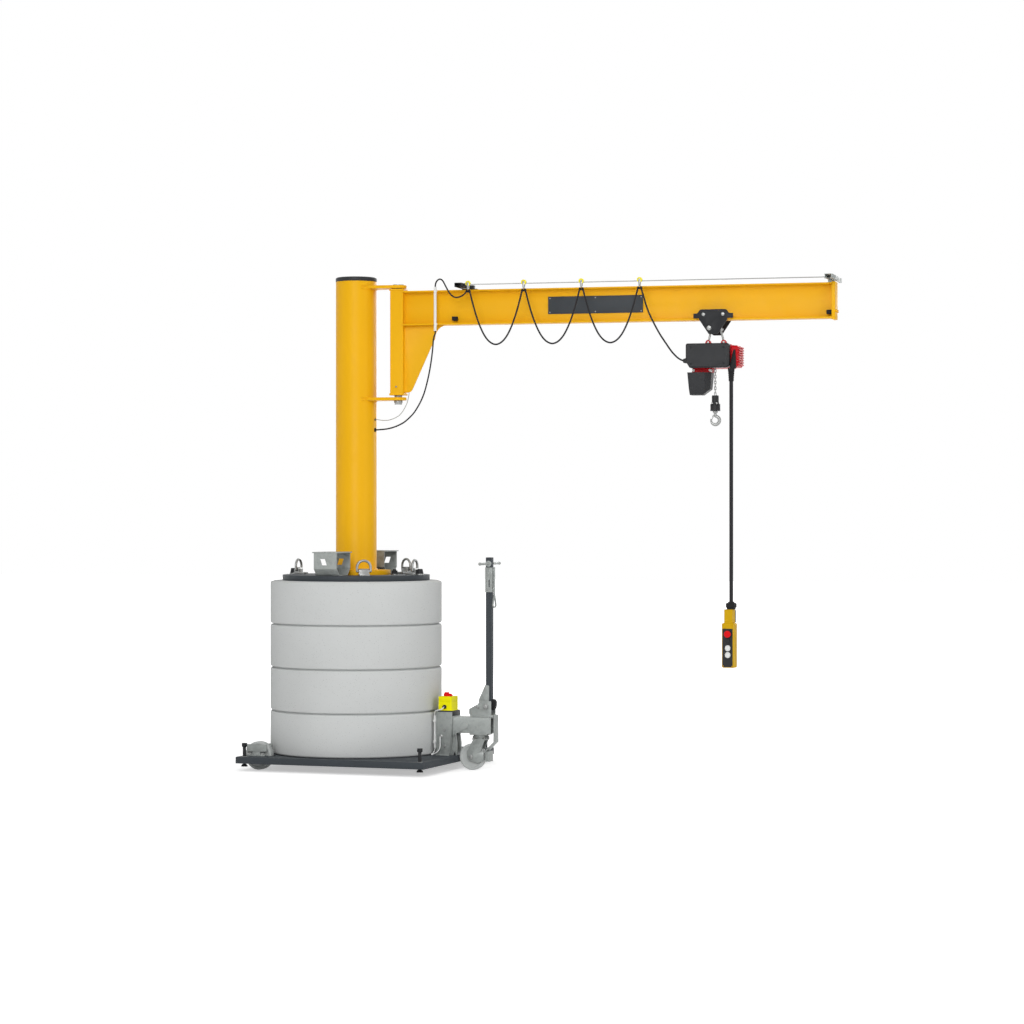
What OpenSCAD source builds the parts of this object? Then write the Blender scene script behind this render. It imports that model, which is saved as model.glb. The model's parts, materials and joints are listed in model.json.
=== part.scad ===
// Mobile slewing jib crane: a wheeled base plate with stacked concrete ballast, a round column,
// a jib that turns between two column brackets, a trolley with a chain hoist, and a steered drawbar.
// Millimetres, +Z up. Origin on the floor under the column's axis, +X towards the drawbar.

/* [Base plate] */
// Distance from the column's axis to the plate's front edge
plate_front = 598; // [590:1:620]
// Distance from the column's axis to the plate's rear edge
plate_rear = 470; // [465:1:500]
// Half of the plate's width
plate_half_w = 515; // [500:1:560]
// Thickness of the base plate
plate_t = 35; // [25:1:45]
// Height of the plate's underside above the floor
plate_clear = 41; // [38:1:50]

/* [Wheels] */
// Diameter of the rear wheels
rear_wheel_d = 150; // [140:1:160]
// Width of the rear wheels' tread
rear_wheel_w = 44; // [36:1:52]
// Distance of the rear axle from the plate's rear edge
rear_axle_in = 74; // [70:1:80]
// Distance of each rear wheel's middle from the plate's side edge
rear_wheel_in = 141; // [136:1:150]
// Diameter of the front castor wheel
castor_d = 140; // [130:1:144]
// Width of the castor wheel's tread
castor_w = 40; // [30:1:46]
// Distance of the castor wheel's axle behind the kingpin
castor_trail = 45; // [40:1:50]

/* [Levelling screws] */
// Distance of the screws from the plate's edges
jack_in = 35; // [25:1:38]
// Diameter of the screws
jack_d = 18; // [12:1:24]
// Gap between the foot pads and the floor
jack_pad_gap = 24; // [15:1:28]
// Height of the screw heads' top
jack_top = 147; // [135:1:160]

/* [Ballast] */
// Diameter of the concrete ballast rings
ring_d = 920; // [860:1:928]
// Height of one ring
ring_h = 231; // [200:1:240]
// Size of the bevel along a ring's edges
ring_bevel = 11; // [6:1:20]

/* [Clamp plate] */
// Diameter of the round plate that holds the ballast down
clamp_d = 790; // [760:1:820]
// Thickness of the clamp plate
clamp_t = 30; // [20:1:40]
// Distance of the clamp nuts from the column's axis
clamp_nut_r = 223; // [218:1:228]
// Distance of the lifting eyes from the column's axis
eye_r = 340; // [330:1:355]
// Wire diameter of a lifting ring
eye_wire_d = 13; // [10:1:15]
// Outer width of a lifting ring
eye_w = 85; // [75:1:95]
// Height of a lifting ring above its hinge
eye_h = 62; // [50:1:75]

/* [Fork pockets] */
// Length of a pocket along the fork
pocket_l = 131; // [110:1:150]
// Outer width of a pocket
pocket_w = 181; // [170:1:190]
// Distance of a pocket's middle from the centre line
pocket_y = 322.5; // [318:0.5:326]
// Outer height of a pocket
pocket_h = 126; // [100:1:150]
// Thickness of the pocket sheet
pocket_t = 6; // [4:0.5:8]

/* [Column] */
// Outer diameter of the column
column_d = 219.1; // [200:0.1:235]
// Wall of the column
column_wall = 8; // [5:0.5:12]
// Height of the column's top edge
column_top = 2603; // [2585:1:2700]
// Height of the plastic cap on the column
column_cap_h = 23; // [10:1:40]
// Diameter of the foot flange
flange_d = 368; // [330:1:400]
// Thickness of the foot flange
flange_t = 25; // [15:1:30]
// Distance from the column's axis to the jib's pivot
pivot_x = 245; // [230:1:290]
// Thickness of the two pivot brackets
bracket_t = 16; // [12:1:20]
// Radius of the brackets' round ends
bracket_r = 44; // [35:1:50]
// Height of the lower bracket's underside
lower_bracket_z = 1963; // [1900:1:1970]
// Height of the upper bracket's underside
upper_bracket_z = 2562; // [2560:1:2580]

/* [Jib] */
// Angle of the jib about its pivot at rest, from +X
slew_rest = 5.4; // [0:0.1:20]
// Side of the square jib post
post_w = 73; // [60:1:76]
// Distance from the pivot to the end of the beam
beam_end = 2336; // [2320:1:2600]
// Height of the beam's underside
beam_z = 2361; // [2350:1:2365]
// Depth of the I-beam
beam_h = 184; // [180:1:190]
// Width of the I-beam's flanges
beam_b = 91; // [82:1:100]
// Thickness of the I-beam's flanges
beam_tf = 8; // [6:0.5:10]
// Thickness of the I-beam's web
beam_tw = 5.3; // [4:0.1:8]
// Radius between web and flange
beam_root_r = 9; // [6:0.5:12]
// Thickness of one end plate
end_plate_t = 9; // [6:0.5:12]
// Thickness of the gusset under the beam
gusset_t = 10; // [6:0.5:14]
// Distance of the bare panel on the web from the pivot
panel_r = 827; // [600:1:1000]
// Length of the bare panel
panel_l = 512; // [300:1:600]
// Height of the bare panel
panel_h = 92; // [60:1:110]
// Diameter of the pivot pins
pivot_pin_d = 30; // [24:1:40]

/* [Cable line] */
// Distance of the cable line's wire in front of the beam's web
line_q = 130; // [120:1:150]
// Height of the wire above the beam
line_rise = 20; // [16:1:26]
// Diameter of the wire
line_wire_d = 5; // [3:0.5:6]
// Diameter of a cable roller
roller_d = 27; // [24:1:32]
// Diameter of the flat cable in the loops
loop_cable_d = 9; // [7:0.5:12]
// Diameter of the supply cable
supply_cable_d = 8; // [6:0.5:10]
// Diameter of the earth wire
earth_wire_d = 4; // [3:0.5:5]

/* [Trolley] */
// Distance of the trolley's middle from the pivot at rest
trolley_r = 1722; // [1500:1:1900]
// Diameter of the trolley wheels
trolley_wheel_d = 42; // [36:1:46]
// Distance between the wheels on one side
trolley_wheelbase = 102; // [80:1:110]
// Thickness of the trolley's side plates
trolley_plate_t = 8; // [4:0.5:10]
// Clearance between the beam's flange and a side plate
trolley_side_gap = 9; // [6:0.5:14]

/* [Hoist] */
// Height of the hoist housing's underside
hoist_z = 2113; // [2100:1:2130]
// Height of the hoist housing
hoist_h = 122; // [110:1:128]
// Wire diameter of the load chain
chain_wire_d = 4; // [3.5:0.5:5]
// Inside length of one chain link
chain_pitch = 15; // [14:0.5:20]
// Height of the hook block's top at rest
hook_block_top = 1972; // [1940:1:1980]
// Height of the hook block
hook_block_h = 81; // [70:1:95]
// Radius of the hook's bend to the middle of its bar
hook_r = 22; // [19:0.5:25]
// Thickness of the hook's bar across its plane
hook_t = 14; // [10:0.5:16]

/* [Pendant] */
// Width of the pendant control's box
pendant_w = 65; // [58:1:72]
// Depth of the pendant control's box
pendant_d = 54; // [46:1:62]
// Height of the pendant control's box
pendant_h = 231; // [200:1:250]
// Height of the box's underside
pendant_z = 562; // [540:1:600]
// Angle of the pendant's front about its cable
pendant_turn = -11; // [-30:1:30]
// Diameter of the pendant cable
pendant_cable_d = 20; // [12:1:22]

/* [Drawbar] */
// Distance of the kingpin in front of the base plate
kingpin_out = 120; // [116:1:126]
// Diameter of the kingpin
kingpin_d = 30; // [24:1:36]
// Side of the square drawbar tube
drawbar_w = 33; // [25:1:36]
// Distance of the drawbar tube's middle in front of the kingpin
drawbar_out = 49; // [46:1:52]
// Height of the drawbar's top
drawbar_top = 1124; // [1000:1:1140]
// Length of the drawbar's cross handle
handle_l = 310; // [250:1:340]
// Diameter of the cross handle
handle_d = 13; // [10:1:20]
// Distance of the cross handle under the drawbar's top
handle_down = 31; // [20:1:50]
// Length of the sleeve on the drawbar
sleeve_l = 131; // [100:1:150]
// Distance of the sleeve's top under the drawbar's top
sleeve_down = 51; // [45:1:70]

/* [Hidden] */

$fn = 48;
yellow = "#f2b01e";
anthracite = "#3a3f44";
zinc = "#9a9e9c";
concrete = "#c6c8c6";
nylon = "#e3e5e3";
black = "#1d1e20";
steel = "#b9bcbe";
red = "#d4141c";
white = "#f0f0ee";
signal_yellow = "#f5e01a";

fine = 0.3;          // play between faces that pass each other
bearing_gap = 0.05;  // radial clearance of a pin in its bore
tiny = 0.01;

plate_top = plate_clear + plate_t;
ballast_top = plate_top + 4 * ring_h;
clamp_top = ballast_top + clamp_t;
rear_wheel_r = rear_wheel_d / 2;
castor_r = castor_d / 2;
column_r = column_d / 2;
beam_top = beam_z + beam_h;
beam_mid = beam_z + beam_h / 2;
post_bottom = lower_bracket_z + bracket_t + 11;
post_top = upper_bracket_z - 4;
rear_axle_x = plate_rear - rear_axle_in;
rear_track_half = plate_half_w - rear_wheel_in;
kingpin_x = plate_front + kingpin_out;
castor_x = kingpin_x - castor_trail;
drawbar_x = kingpin_x + drawbar_out;

/* ---------------------------------------------------------------- helpers */

// A plate with round corners, standing on z = 0
module rounded_plate(l, w, t, r) {
    linear_extrude(t) offset(r) square([l - 2 * r, w - 2 * r], center = true);
}

// A hexagon head or nut across its flats, standing on z = 0
module hexagon(flats, h) {
    cylinder(d = flats / cos(30), h = h, $fn = 6);
}

// A shape drawn in X and Z, thickened along Y about y = 0
module in_xz(t) {
    translate([0, t / 2, 0]) rotate([90, 0, 0]) linear_extrude(t) children();
}

// Carries its children from the jib's own frame (x along the jib, y behind it) to its place
module on_jib() {
    translate([pivot_x, 0, 0]) rotate([0, 0, slew_rest]) children();
}

// Carries its children to the trolley's middle, in the jib's own frame
module on_trolley() {
    on_jib() translate([trolley_r, 0, 0]) children();
}

// A straight round bar between two points along X
module bar_x(x0, x1, d) {
    translate([x0, 0, 0]) rotate([0, 90, 0]) cylinder(d = d, h = x1 - x0);
}

// A round bar of length l along Y about y = 0
module bar_y(l, d) {
    rotate([90, 0, 0]) cylinder(d = d, h = l, center = true);
}

/* Cords: points chosen by hand, smoothed and swept into a tube */

function unit(v) = v / norm(v);

// A point at t (0 to 1) between b and c on the smooth curve through a, b, c and d
function between(a, b, c, d, t) =
    0.5 * (2 * b + (c - a) * t + (2 * a - 5 * b + 4 * c - d) * t * t
        + (3 * b - a - 3 * c + d) * t * t * t);

// The route's points with n - 1 more on each stretch
function smooth(p, n) = let (last = len(p) - 1) [
    for (i = [0 : last - 1], k = [0 : n - 1])
        between(p[max(i - 1, 0)], p[i], p[i + 1], p[min(i + 2, last)], k / n),
    p[last]
];

// The route's direction at point i
function heading(p, i) = unit(p[min(i + 1, len(p) - 1)] - p[max(i - 1, 0)]);

// The ring of points round the route's point i; side is a direction that the route never takes
function tube_ring(p, i, r, sides, side) =
    let (along = heading(p, i), u = unit(cross(along, side)), v = cross(u, along))
    [for (k = [0 : sides - 1]) p[i] + r * (cos(360 * k / sides) * u + sin(360 * k / sides) * v)];

// A round tube of diameter d along the points of a route
module cord(p, d, sides = 8, side = [0, 1, 0]) {
    last = len(p) - 1;
    points = [for (i = [0 : last]) each tube_ring(p, i, d / 2, sides, side)];
    walls = [
        for (i = [0 : last - 1], k = [0 : sides - 1])
            let (n = (k + 1) % sides)
            [i * sides + k, i * sides + n, (i + 1) * sides + n, (i + 1) * sides + k]
    ];
    start = [[for (k = [sides - 1 : -1 : 0]) k]];
    end = [[for (k = [0 : sides - 1]) last * sides + k]];
    polyhedron(points, concat(start, walls, end), convexity = 6);
}

/* ---------------------------------------------------------------- base */

wheel_slot_l = rear_wheel_d + 20;
wheel_slot_w = rear_wheel_w + 20;
axle_d = 20;

// The wheeled plate with open slots for the rear wheels and threaded holes for the jack screws
module base_plate() {
    color(anthracite) difference() {
        translate([-plate_rear, -plate_half_w, plate_clear])
            cube([plate_rear + plate_front, 2 * plate_half_w, plate_t]);
        for (side = [-1, 1]) translate([-rear_axle_x, side * rear_track_half, 0]) {
            translate([-wheel_slot_l, -wheel_slot_w / 2, plate_clear - 1])
                cube([wheel_slot_l * 1.5, wheel_slot_w, plate_t + 2]);
            translate([0, 0, rear_wheel_r]) bar_y(wheel_slot_w + 60, axle_d + 2 * bearing_gap);
        }
        for (p = jack_places) translate([p[0], p[1], plate_clear - 1])
            cylinder(d = jack_d + 2 * bearing_gap, h = plate_t + 2);
    }
}

bracket_plate_l = 115;
bracket_plate_low = 98;
bracket_plate_high = 136;
bracket_foot_l = 44;

// One upright plate of a wheel bracket: a wide strip that hangs over a narrow foot
module wheel_bracket_plate() {
    in_xz(6) {
        translate([0, (bracket_plate_low + bracket_plate_high) / 2])
            offset(3)
                square([bracket_plate_l - 6, bracket_plate_high - bracket_plate_low - 6], center = true);
        translate([-bracket_foot_l / 2, plate_top])
            square([bracket_foot_l, bracket_plate_low - plate_top + 4]);
    }
}

// Brackets that clamp the rear axles on the plate, with the axles and their bolts
module axle_brackets() {
    reach = wheel_slot_w / 2 + 5;
    color(zinc) for (side = [-1, 1]) translate([-rear_axle_x, side * rear_track_half, 0]) {
        for (q = [-1, 1]) translate([0, q * reach, 0]) {
            wheel_bracket_plate();
            translate([-bracket_plate_l / 2, q > 0 ? 0 : -24, plate_top])
                cube([bracket_plate_l, 24, 6]);
            for (x = [-38, 38]) translate([x, q * 13, plate_top + 6]) hexagon(16, 9);
        }
        translate([0, 0, rear_wheel_r]) bar_y(2 * reach + 30, axle_d);
    }
}

// A spoked-looking plastic wheel about the Y axis through its hub, with crowned tread
module plain_wheel(d, w, hub_d, bore_d) {
    r = d / 2;
    rotate([90, 0, 0]) rotate_extrude($fn = 72) polygon([
        [bore_d / 2, -w / 2 - 3], [hub_d / 2, -w / 2 - 3], [hub_d / 2, -w / 2 + 7],
        [r * 0.78, -w / 2 + 4], [r * 0.82, -w / 2], [r - 4, -w / 2], [r, -w / 2 + 4],
        [r, w / 2 - 4], [r - 4, w / 2], [r * 0.82, w / 2], [r * 0.78, w / 2 - 4],
        [hub_d / 2, w / 2 - 7], [hub_d / 2, w / 2 + 3], [bore_d / 2, w / 2 + 3]
    ]);
}

module rear_wheel(side) {
    color(nylon) translate([-rear_axle_x, side * rear_track_half, rear_wheel_r])
        plain_wheel(rear_wheel_d, rear_wheel_w, 46, axle_d + 2 * bearing_gap);
}

module rear_wheel_left() { rear_wheel(-1); }
module rear_wheel_right() { rear_wheel(1); }

jack_places = [
    for (x = [plate_front - jack_in, jack_in - plate_rear], side = [-1, 1])
        [x, side * (plate_half_w - jack_in)]
];
jack_head_h = 17;

// A levelling screw with a hexagon head and a flared foot pad
module jack_screw(i) {
    color(black) translate([jack_places[i][0], jack_places[i][1], 0]) {
        translate([0, 0, jack_pad_gap]) cylinder(d1 = 38, d2 = 26, h = 11);
        translate([0, 0, jack_pad_gap + 5])
            cylinder(d = jack_d, h = jack_top - jack_pad_gap - 10);
        translate([0, 0, jack_top - jack_head_h - 5]) cylinder(d1 = jack_d, d2 = 27, h = 5 + tiny);
        translate([0, 0, jack_top - jack_head_h]) hexagon(27, jack_head_h);
    }
}

module jack_screw_1() { jack_screw(0); }
module jack_screw_2() { jack_screw(1); }
module jack_screw_3() { jack_screw(2); }
module jack_screw_4() { jack_screw(3); }

/* ---------------------------------------------------------------- ballast */

// One concrete ring of the stack, counted from below, with bevelled edges and a narrow open joint
module ballast_ring(i) {
    r = ring_d / 2;
    b = ring_bevel;
    joint = b * 0.36;   // half the open joint between two rings
    half = [
        [r - b * 1.5, 0], [r - b * 1.5, joint], [r - b * 0.5, joint],
        [r - b * 0.12, joint + b * 0.35], [r, joint + b * 0.9]
    ];
    color(concrete) translate([0, 0, plate_top + (i - 1) * ring_h])
        rotate_extrude($fn = 120) polygon(concat(
            [[0, 0]], half, [for (k = [4 : -1 : 0]) [half[k][0], ring_h - half[k][1]]], [[0, ring_h]]
        ));
}

module ballast_ring_1() { ballast_ring(1); }
module ballast_ring_2() { ballast_ring(2); }
module ballast_ring_3() { ballast_ring(3); }
module ballast_ring_4() { ballast_ring(4); }

// The round steel plate on top of the ballast
module clamp_plate() {
    color(anthracite) translate([0, 0, ballast_top]) cylinder(d = clamp_d, h = clamp_t, $fn = 120);
}

clamp_nut_angles = [0, 75, 180, 255];

// Nuts of the four rods that pull the clamp plate down
module clamp_nuts() {
    color(black) for (a = clamp_nut_angles) rotate([0, 0, a])
        translate([clamp_nut_r, 0, clamp_top]) {
            cylinder(d = 40, h = 4);
            translate([0, 0, 4]) hexagon(30, 19);
            translate([0, 0, 23]) cylinder(d = 18, h = 7);
        }
}

/* ---------------------------------------------------------------- lifting eyes */

eye_angles = [-60, 0, 60, 180];
eye_hinge_z = clamp_top + 24;
eye_base_w = 54;

module at_eye(i) {
    rotate([0, 0, eye_angles[i]]) translate([eye_r, 0, 0]) children();
}

// Screwed-down bodies in which the lifting rings hinge; the first has its bolt on the inside
module lifting_eye_bases() {
    hinge = eye_wire_d + 2 * fine;
    for (i = [0 : 3]) at_eye(i) rotate([0, 0, i == 0 ? 180 : 0]) {
        color(steel) difference() {
            union() {
                translate([-44, -eye_base_w / 2, clamp_top]) cube([58, eye_base_w, 10]);
                translate([0, 0, eye_hinge_z]) rotate([90, 0, 0])
                    cylinder(d = 27, h = eye_base_w, center = true);
                translate([-13.5, -eye_base_w / 2, clamp_top + 6])
                    cube([27, eye_base_w, eye_hinge_z - clamp_top - 6]);
            }
            translate([0, 0, eye_hinge_z]) bar_y(eye_base_w + 2, hinge);
        }
        color(black) translate([29, 0, clamp_top]) {
            cylinder(d = 44, h = 6);
            translate([0, 0, 6]) cylinder(d1 = 40, d2 = 30, h = 24);
        }
    }
}

// A lifting ring: a bow over a straight hinge pin
module lifting_ring(i) {
    r = eye_w / 2 - eye_wire_d / 2;
    leg = eye_h - r - eye_wire_d / 2;
    color(steel) at_eye(i) translate([0, 0, eye_hinge_z]) {
        translate([0, 0, leg]) rotate([90, 0, 90])
            rotate_extrude(angle = 180) translate([r, 0]) circle(d = eye_wire_d, $fn = 24);
        for (side = [-1, 1]) translate([0, side * r, 0]) {
            cylinder(d = eye_wire_d, h = leg, $fn = 24);
            sphere(d = eye_wire_d, $fn = 24);
        }
        rotate([90, 0, 0]) cylinder(d = eye_wire_d, h = 2 * r, center = true, $fn = 24);
    }
}

module lifting_ring_1() { lifting_ring(0); }
module lifting_ring_2() { lifting_ring(1); }
module lifting_ring_3() { lifting_ring(2); }
module lifting_ring_4() { lifting_ring(3); }

/* ---------------------------------------------------------------- fork pockets */

pocket_bevel_h = 36;
pocket_bevel_in = 36;
pocket_lid_over = 9;

// The window in a pocket's wall, as a leaning parallelogram
module pocket_window() {
    polygon([[-30, 89], [-2, 89], [9, 56], [-19, 56]]);
}

// One wall of a pocket: upright with a window, its foot folded inwards; out is +1 or -1
module pocket_wall(out) {
    half = pocket_w / 2;
    difference() {
        rotate([90, 0, 90]) linear_extrude(pocket_l, center = true) polygon([
            [out * (half - pocket_bevel_in), 0], [out * half, pocket_bevel_h],
            [out * half, pocket_h - pocket_t + 1], [out * (half - pocket_t), pocket_h - pocket_t + 1],
            [out * (half - pocket_t), pocket_bevel_h + 2],
            [out * (half - pocket_bevel_in - pocket_t * 1.2), 0]
        ]);
        translate([0, out * half, 0]) in_xz(4 * pocket_t) scale([-out, 1]) pocket_window();
    }
}

// Two galvanised sleeves on the clamp plate for the forks of a truck
module fork_pockets() {
    color(zinc) for (side = [-1, 1])
        translate([0, side * pocket_y, clamp_top]) {
            for (out = [-1, 1]) pocket_wall(out);
            translate([-pocket_l / 2 - pocket_lid_over, -pocket_w / 2 - 2, pocket_h - pocket_t])
                cube([pocket_l + 2 * pocket_lid_over, pocket_w + 4, pocket_t]);
            translate([-pocket_l / 2, -pocket_w / 2 + pocket_bevel_in, 0])
                cube([pocket_l, pocket_w - 2 * pocket_bevel_in, 4]);
        }
}

/* ---------------------------------------------------------------- column */

supply_hole_z = 1807;
earth_hole_z = 1862;

// The round column on its foot flange, open at the top under the cap
module column() {
    color(yellow) difference() {
        union() {
            translate([0, 0, clamp_top]) cylinder(d = flange_d, h = flange_t, $fn = 96);
            translate([0, 0, clamp_top]) cylinder(r = column_r, h = column_top - clamp_top, $fn = 96);
        }
        translate([0, 0, clamp_top + flange_t])
            cylinder(r = column_r - column_wall, h = column_top, $fn = 96);
        translate([0, 0, supply_hole_z]) bar_x(column_r - 30, column_r + 10, supply_cable_d + 6);
        translate([0, 0, earth_hole_z]) bar_x(column_r - 30, column_r + 10, earth_wire_d + 4);
    }
}

// One bracket plate: welded round the column, with a round end at the pivot
module bracket_plate() {
    difference() {
        linear_extrude(bracket_t) difference() {
            hull() {
                translate([pivot_x, 0]) circle(r = bracket_r, $fn = 64);
                translate([column_r * 0.6, 0]) square([10, 2 * bracket_r + 50], center = true);
            }
            circle(r = column_r, $fn = 96);
        }
        translate([pivot_x, 0, -1]) cylinder(d = pivot_pin_d + 2 * bearing_gap, h = bracket_t + 2);
    }
}

// The two tongues that carry the jib's pivots
module column_brackets() {
    color(yellow) for (z = [lower_bracket_z, upper_bracket_z])
        translate([0, 0, z]) bracket_plate();
}

// The plastic cap that closes the column
module column_cap() {
    color(black) translate([0, 0, column_top]) {
        cylinder(r = column_r + 1, h = column_cap_h - 5, $fn = 96);
        translate([0, 0, column_cap_h - 5]) cylinder(r1 = column_r + 1, r2 = column_r - 6, h = 5, $fn = 96);
    }
}

/* ---------------------------------------------------------------- steering post, switch */

steer_post_x0 = plate_front - 110;
steer_post_x1 = plate_front - 21;
steer_post_half_w = 62;
steer_post_top = 307;
steer_post_t = 6;
arm_low = 196;
arm_top = 281;
arm_end = kingpin_x + 70;
arm_half_w = 40;
seat_low = 285;

// The outline of the arm's web where it is welded on the post
module tongue_outline() {
    polygon([
        [steer_post_x1 - 2, arm_low - 20], [steer_post_x1 - 2, arm_top - 6],
        [steer_post_x1 + 70, arm_top - 22], [steer_post_x1 + 88, arm_top - 38],
        [steer_post_x1 + 80, arm_low + 26], [steer_post_x1 + 20, arm_low]
    ]);
}

// The post in front of the ballast with the arm that carries castor and drawbar
module steering_post() {
    inner = steer_post_half_w - steer_post_t;
    color(zinc) {
        difference() {
            union() {
                hull() {
                    translate([steer_post_x0, -steer_post_half_w, steer_post_top - 60])
                        cube([steer_post_x1 - steer_post_x0, 2 * steer_post_half_w, 60]);
                    translate([steer_post_x0, -steer_post_half_w, plate_top])
                        cube([steer_post_x1 - steer_post_x0 - 18, 2 * steer_post_half_w, 1]);
                }
                translate([steer_post_x1 - 4, -arm_half_w, arm_low])
                    cube([arm_end - steer_post_x1 + 4, 2 * arm_half_w, arm_top - arm_low]);
            }
            // the seat of the switch between the post's cheeks
            translate([steer_post_x0 + steer_post_t, -inner, seat_low])
                cube([steer_post_x1 - steer_post_x0, 2 * inner, steer_post_top - seat_low + 1]);
            // the arm's open mouth, below the web that carries the kingpin
            translate([kingpin_x + 28, -arm_half_w + 5, arm_low + 5])
                cube([arm_end - kingpin_x - 27, 2 * arm_half_w - 10, arm_top - arm_low - 10]);
            translate([kingpin_x, 0, arm_low - 1])
                cylinder(d = kingpin_d + 2 * bearing_gap, h = arm_top - arm_low + 2);
        }
        for (side = [-1, 1]) {
            translate([0, side * (arm_half_w + 2), 0]) in_xz(4) tongue_outline();
            translate([0, side * 30, 0]) in_xz(8) difference() {
                polygon([
                    [steer_post_x1 - 20, plate_top], [plate_front - 3, plate_top],
                    [plate_front - 3, plate_top + 66], [steer_post_x1 + 10, arm_low + 2],
                    [steer_post_x1 - 6, arm_low + 2], [steer_post_x1 - 6, 150]
                ]);
                polygon([
                    [steer_post_x1 - 4, plate_top - 1], [plate_front - 10, plate_top - 1],
                    [steer_post_x1 + 6, plate_top + 24]
                ]);
            }
        }
        difference() {
            translate([kingpin_x, 0, arm_low - 8]) rounded_plate(100, 88, 9, 6);
            translate([kingpin_x, 0, arm_low - 9])
                cylinder(d = kingpin_d + 2 * bearing_gap, h = 11);
        }
        difference() {
            translate([kingpin_x, 0, arm_low - 15]) cylinder(d = 78, h = 8);
            translate([kingpin_x, 0, arm_low - 16]) cylinder(d = kingpin_d + 2 * bearing_gap, h = 10);
        }
    }
}

switch_x0 = steer_post_x0 + 6;
switch_l = 75;
switch_half_w = 50;
switch_base_z = seat_low + 29;
switch_h = 73;
switch_mid_x = switch_x0 + switch_l / 2;

// The main switch's enclosure on its dark mounting block, with the lid's parting line
module switch_box() {
    base_l = steer_post_x1 - steer_post_x0 - steer_post_t - fine;
    color(black) translate([
        steer_post_x0 + steer_post_t + fine, -steer_post_half_w + steer_post_t + fine, seat_low])
        cube([base_l, 2 * (steer_post_half_w - steer_post_t - fine), switch_base_z - seat_low]);
    color(signal_yellow) difference() {
        translate([switch_mid_x, 0, switch_base_z])
            rounded_plate(switch_l, 2 * switch_half_w, switch_h, 6);
        translate([switch_mid_x, 0, switch_base_z + switch_h * 0.6]) difference() {
            rounded_plate(switch_l + 2, 2 * switch_half_w + 2, 1.2, 7);
            translate([0, 0, -1]) rounded_plate(switch_l - 1.6, 2 * switch_half_w - 1.6, 4, 5);
        }
        translate([switch_mid_x, 0, switch_base_z + switch_h - 20])
            cylinder(d = 8 + 2 * bearing_gap, h = 21);
    }
}

// The red rotary grip of the main switch: a collar with a stepped bar across it
module switch_knob() {
    color(red) translate([switch_mid_x, 0, switch_base_z + switch_h]) {
        translate([0, 0, -18]) cylinder(d = 8, h = 20);
        translate([0, 0, fine]) cylinder(d = 48, h = 8);
        hull() {
            translate([0, 0, 7]) rounded_plate(46, 18, 1, 4);
            translate([-4, 0, 13]) rounded_plate(38, 14, 1, 4);
        }
        translate([-8, 0, 13]) rounded_plate(26, 14, 8, 4);
    }
}

conduit_x = steer_post_x0 - 12;
conduit_y = -50;
fitting_x = steer_post_x0 + 26;
fitting_y = -steer_post_half_w;

// White conduit with its clips, and the thin lines at the post's foot
module switch_conduit() {
    color(white) {
        translate([conduit_x, conduit_y, 116]) cylinder(d = 14, h = 170);
        for (z = [142, 252]) translate([conduit_x, conduit_y, z]) {
            cylinder(d = 22, h = 12);
            translate([0, -5, 0]) cube([steer_post_x0 - conduit_x, 10, 12]);
        }
        cord(smooth([
            [conduit_x, conduit_y, 284], [conduit_x, conduit_y - 2, 300],
            [conduit_x + 8, conduit_y - 8, 312], [conduit_x + 24, conduit_y - 14, 316],
            [conduit_x + 42, conduit_y - 17, 320], [conduit_x + 52, conduit_y - 16, 328],
            [conduit_x + 56, conduit_y - 9, 334], [conduit_x + 56, conduit_y, 334]
        ], 2), 6, side = [1, 1, 0]);
        cord(smooth([
            [conduit_x, conduit_y, 118], [conduit_x, conduit_y, 108], [conduit_x - 3, conduit_y - 3, 97],
            [conduit_x - 9, conduit_y - 8, 87], [conduit_x - 16, conduit_y - 14, plate_top + 3.2]
        ], 2), 6, side = [1, -1, 0]);
        cord(smooth([
            [fitting_x, fitting_y, 176], [fitting_x, fitting_y - 7, 175], [fitting_x, fitting_y - 11, 166],
            [fitting_x, fitting_y - 11, 140], [fitting_x - 2, fitting_y - 11, 116],
            [fitting_x - 12, fitting_y - 12, 98], [fitting_x - 28, fitting_y - 14, 88],
            [fitting_x - 46, fitting_y - 18, plate_top + 3.2]
        ], 2), 6, side = [1, 0, 0]);
    }
}

/* ---------------------------------------------------------------- castor and drawbar */

castor_head_top = arm_low - 15 - 0.5;
fork_top = castor_head_top - 20;
fork_gap = castor_w / 2 + 5;
fork_t = 5;
castor_axle_d = 16;
yoke_z = arm_top + 1;
yoke_base_t = 12;
yoke_half_w = 36;
yoke_t = 6;
tilt_x = kingpin_x + 41;
tilt_z = 339;
tilt_pin_d = 16;
drawbar_low = 312;
strap_x = arm_end + 12;
strap_t = 5;
strap_half_w = 31;

// The side of the castor fork: a cheek from the swivel head, and the guard round the axle
module fork_side() {
    in_xz(fork_t) {
        hull() {
            translate([kingpin_x - 32, fork_top - 2]) square([62, 6]);
            translate([castor_x - 24, 96]) square([76, 2]);
        }
        hull() {
            translate([castor_x - 24, 92]) square([94, 5]);
            translate([castor_x, castor_r]) circle(r = 22);
            translate([castor_x + 40, 47]) circle(r = 9);
            translate([castor_x + 62, 58]) circle(r = 8);
        }
    }
}

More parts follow.
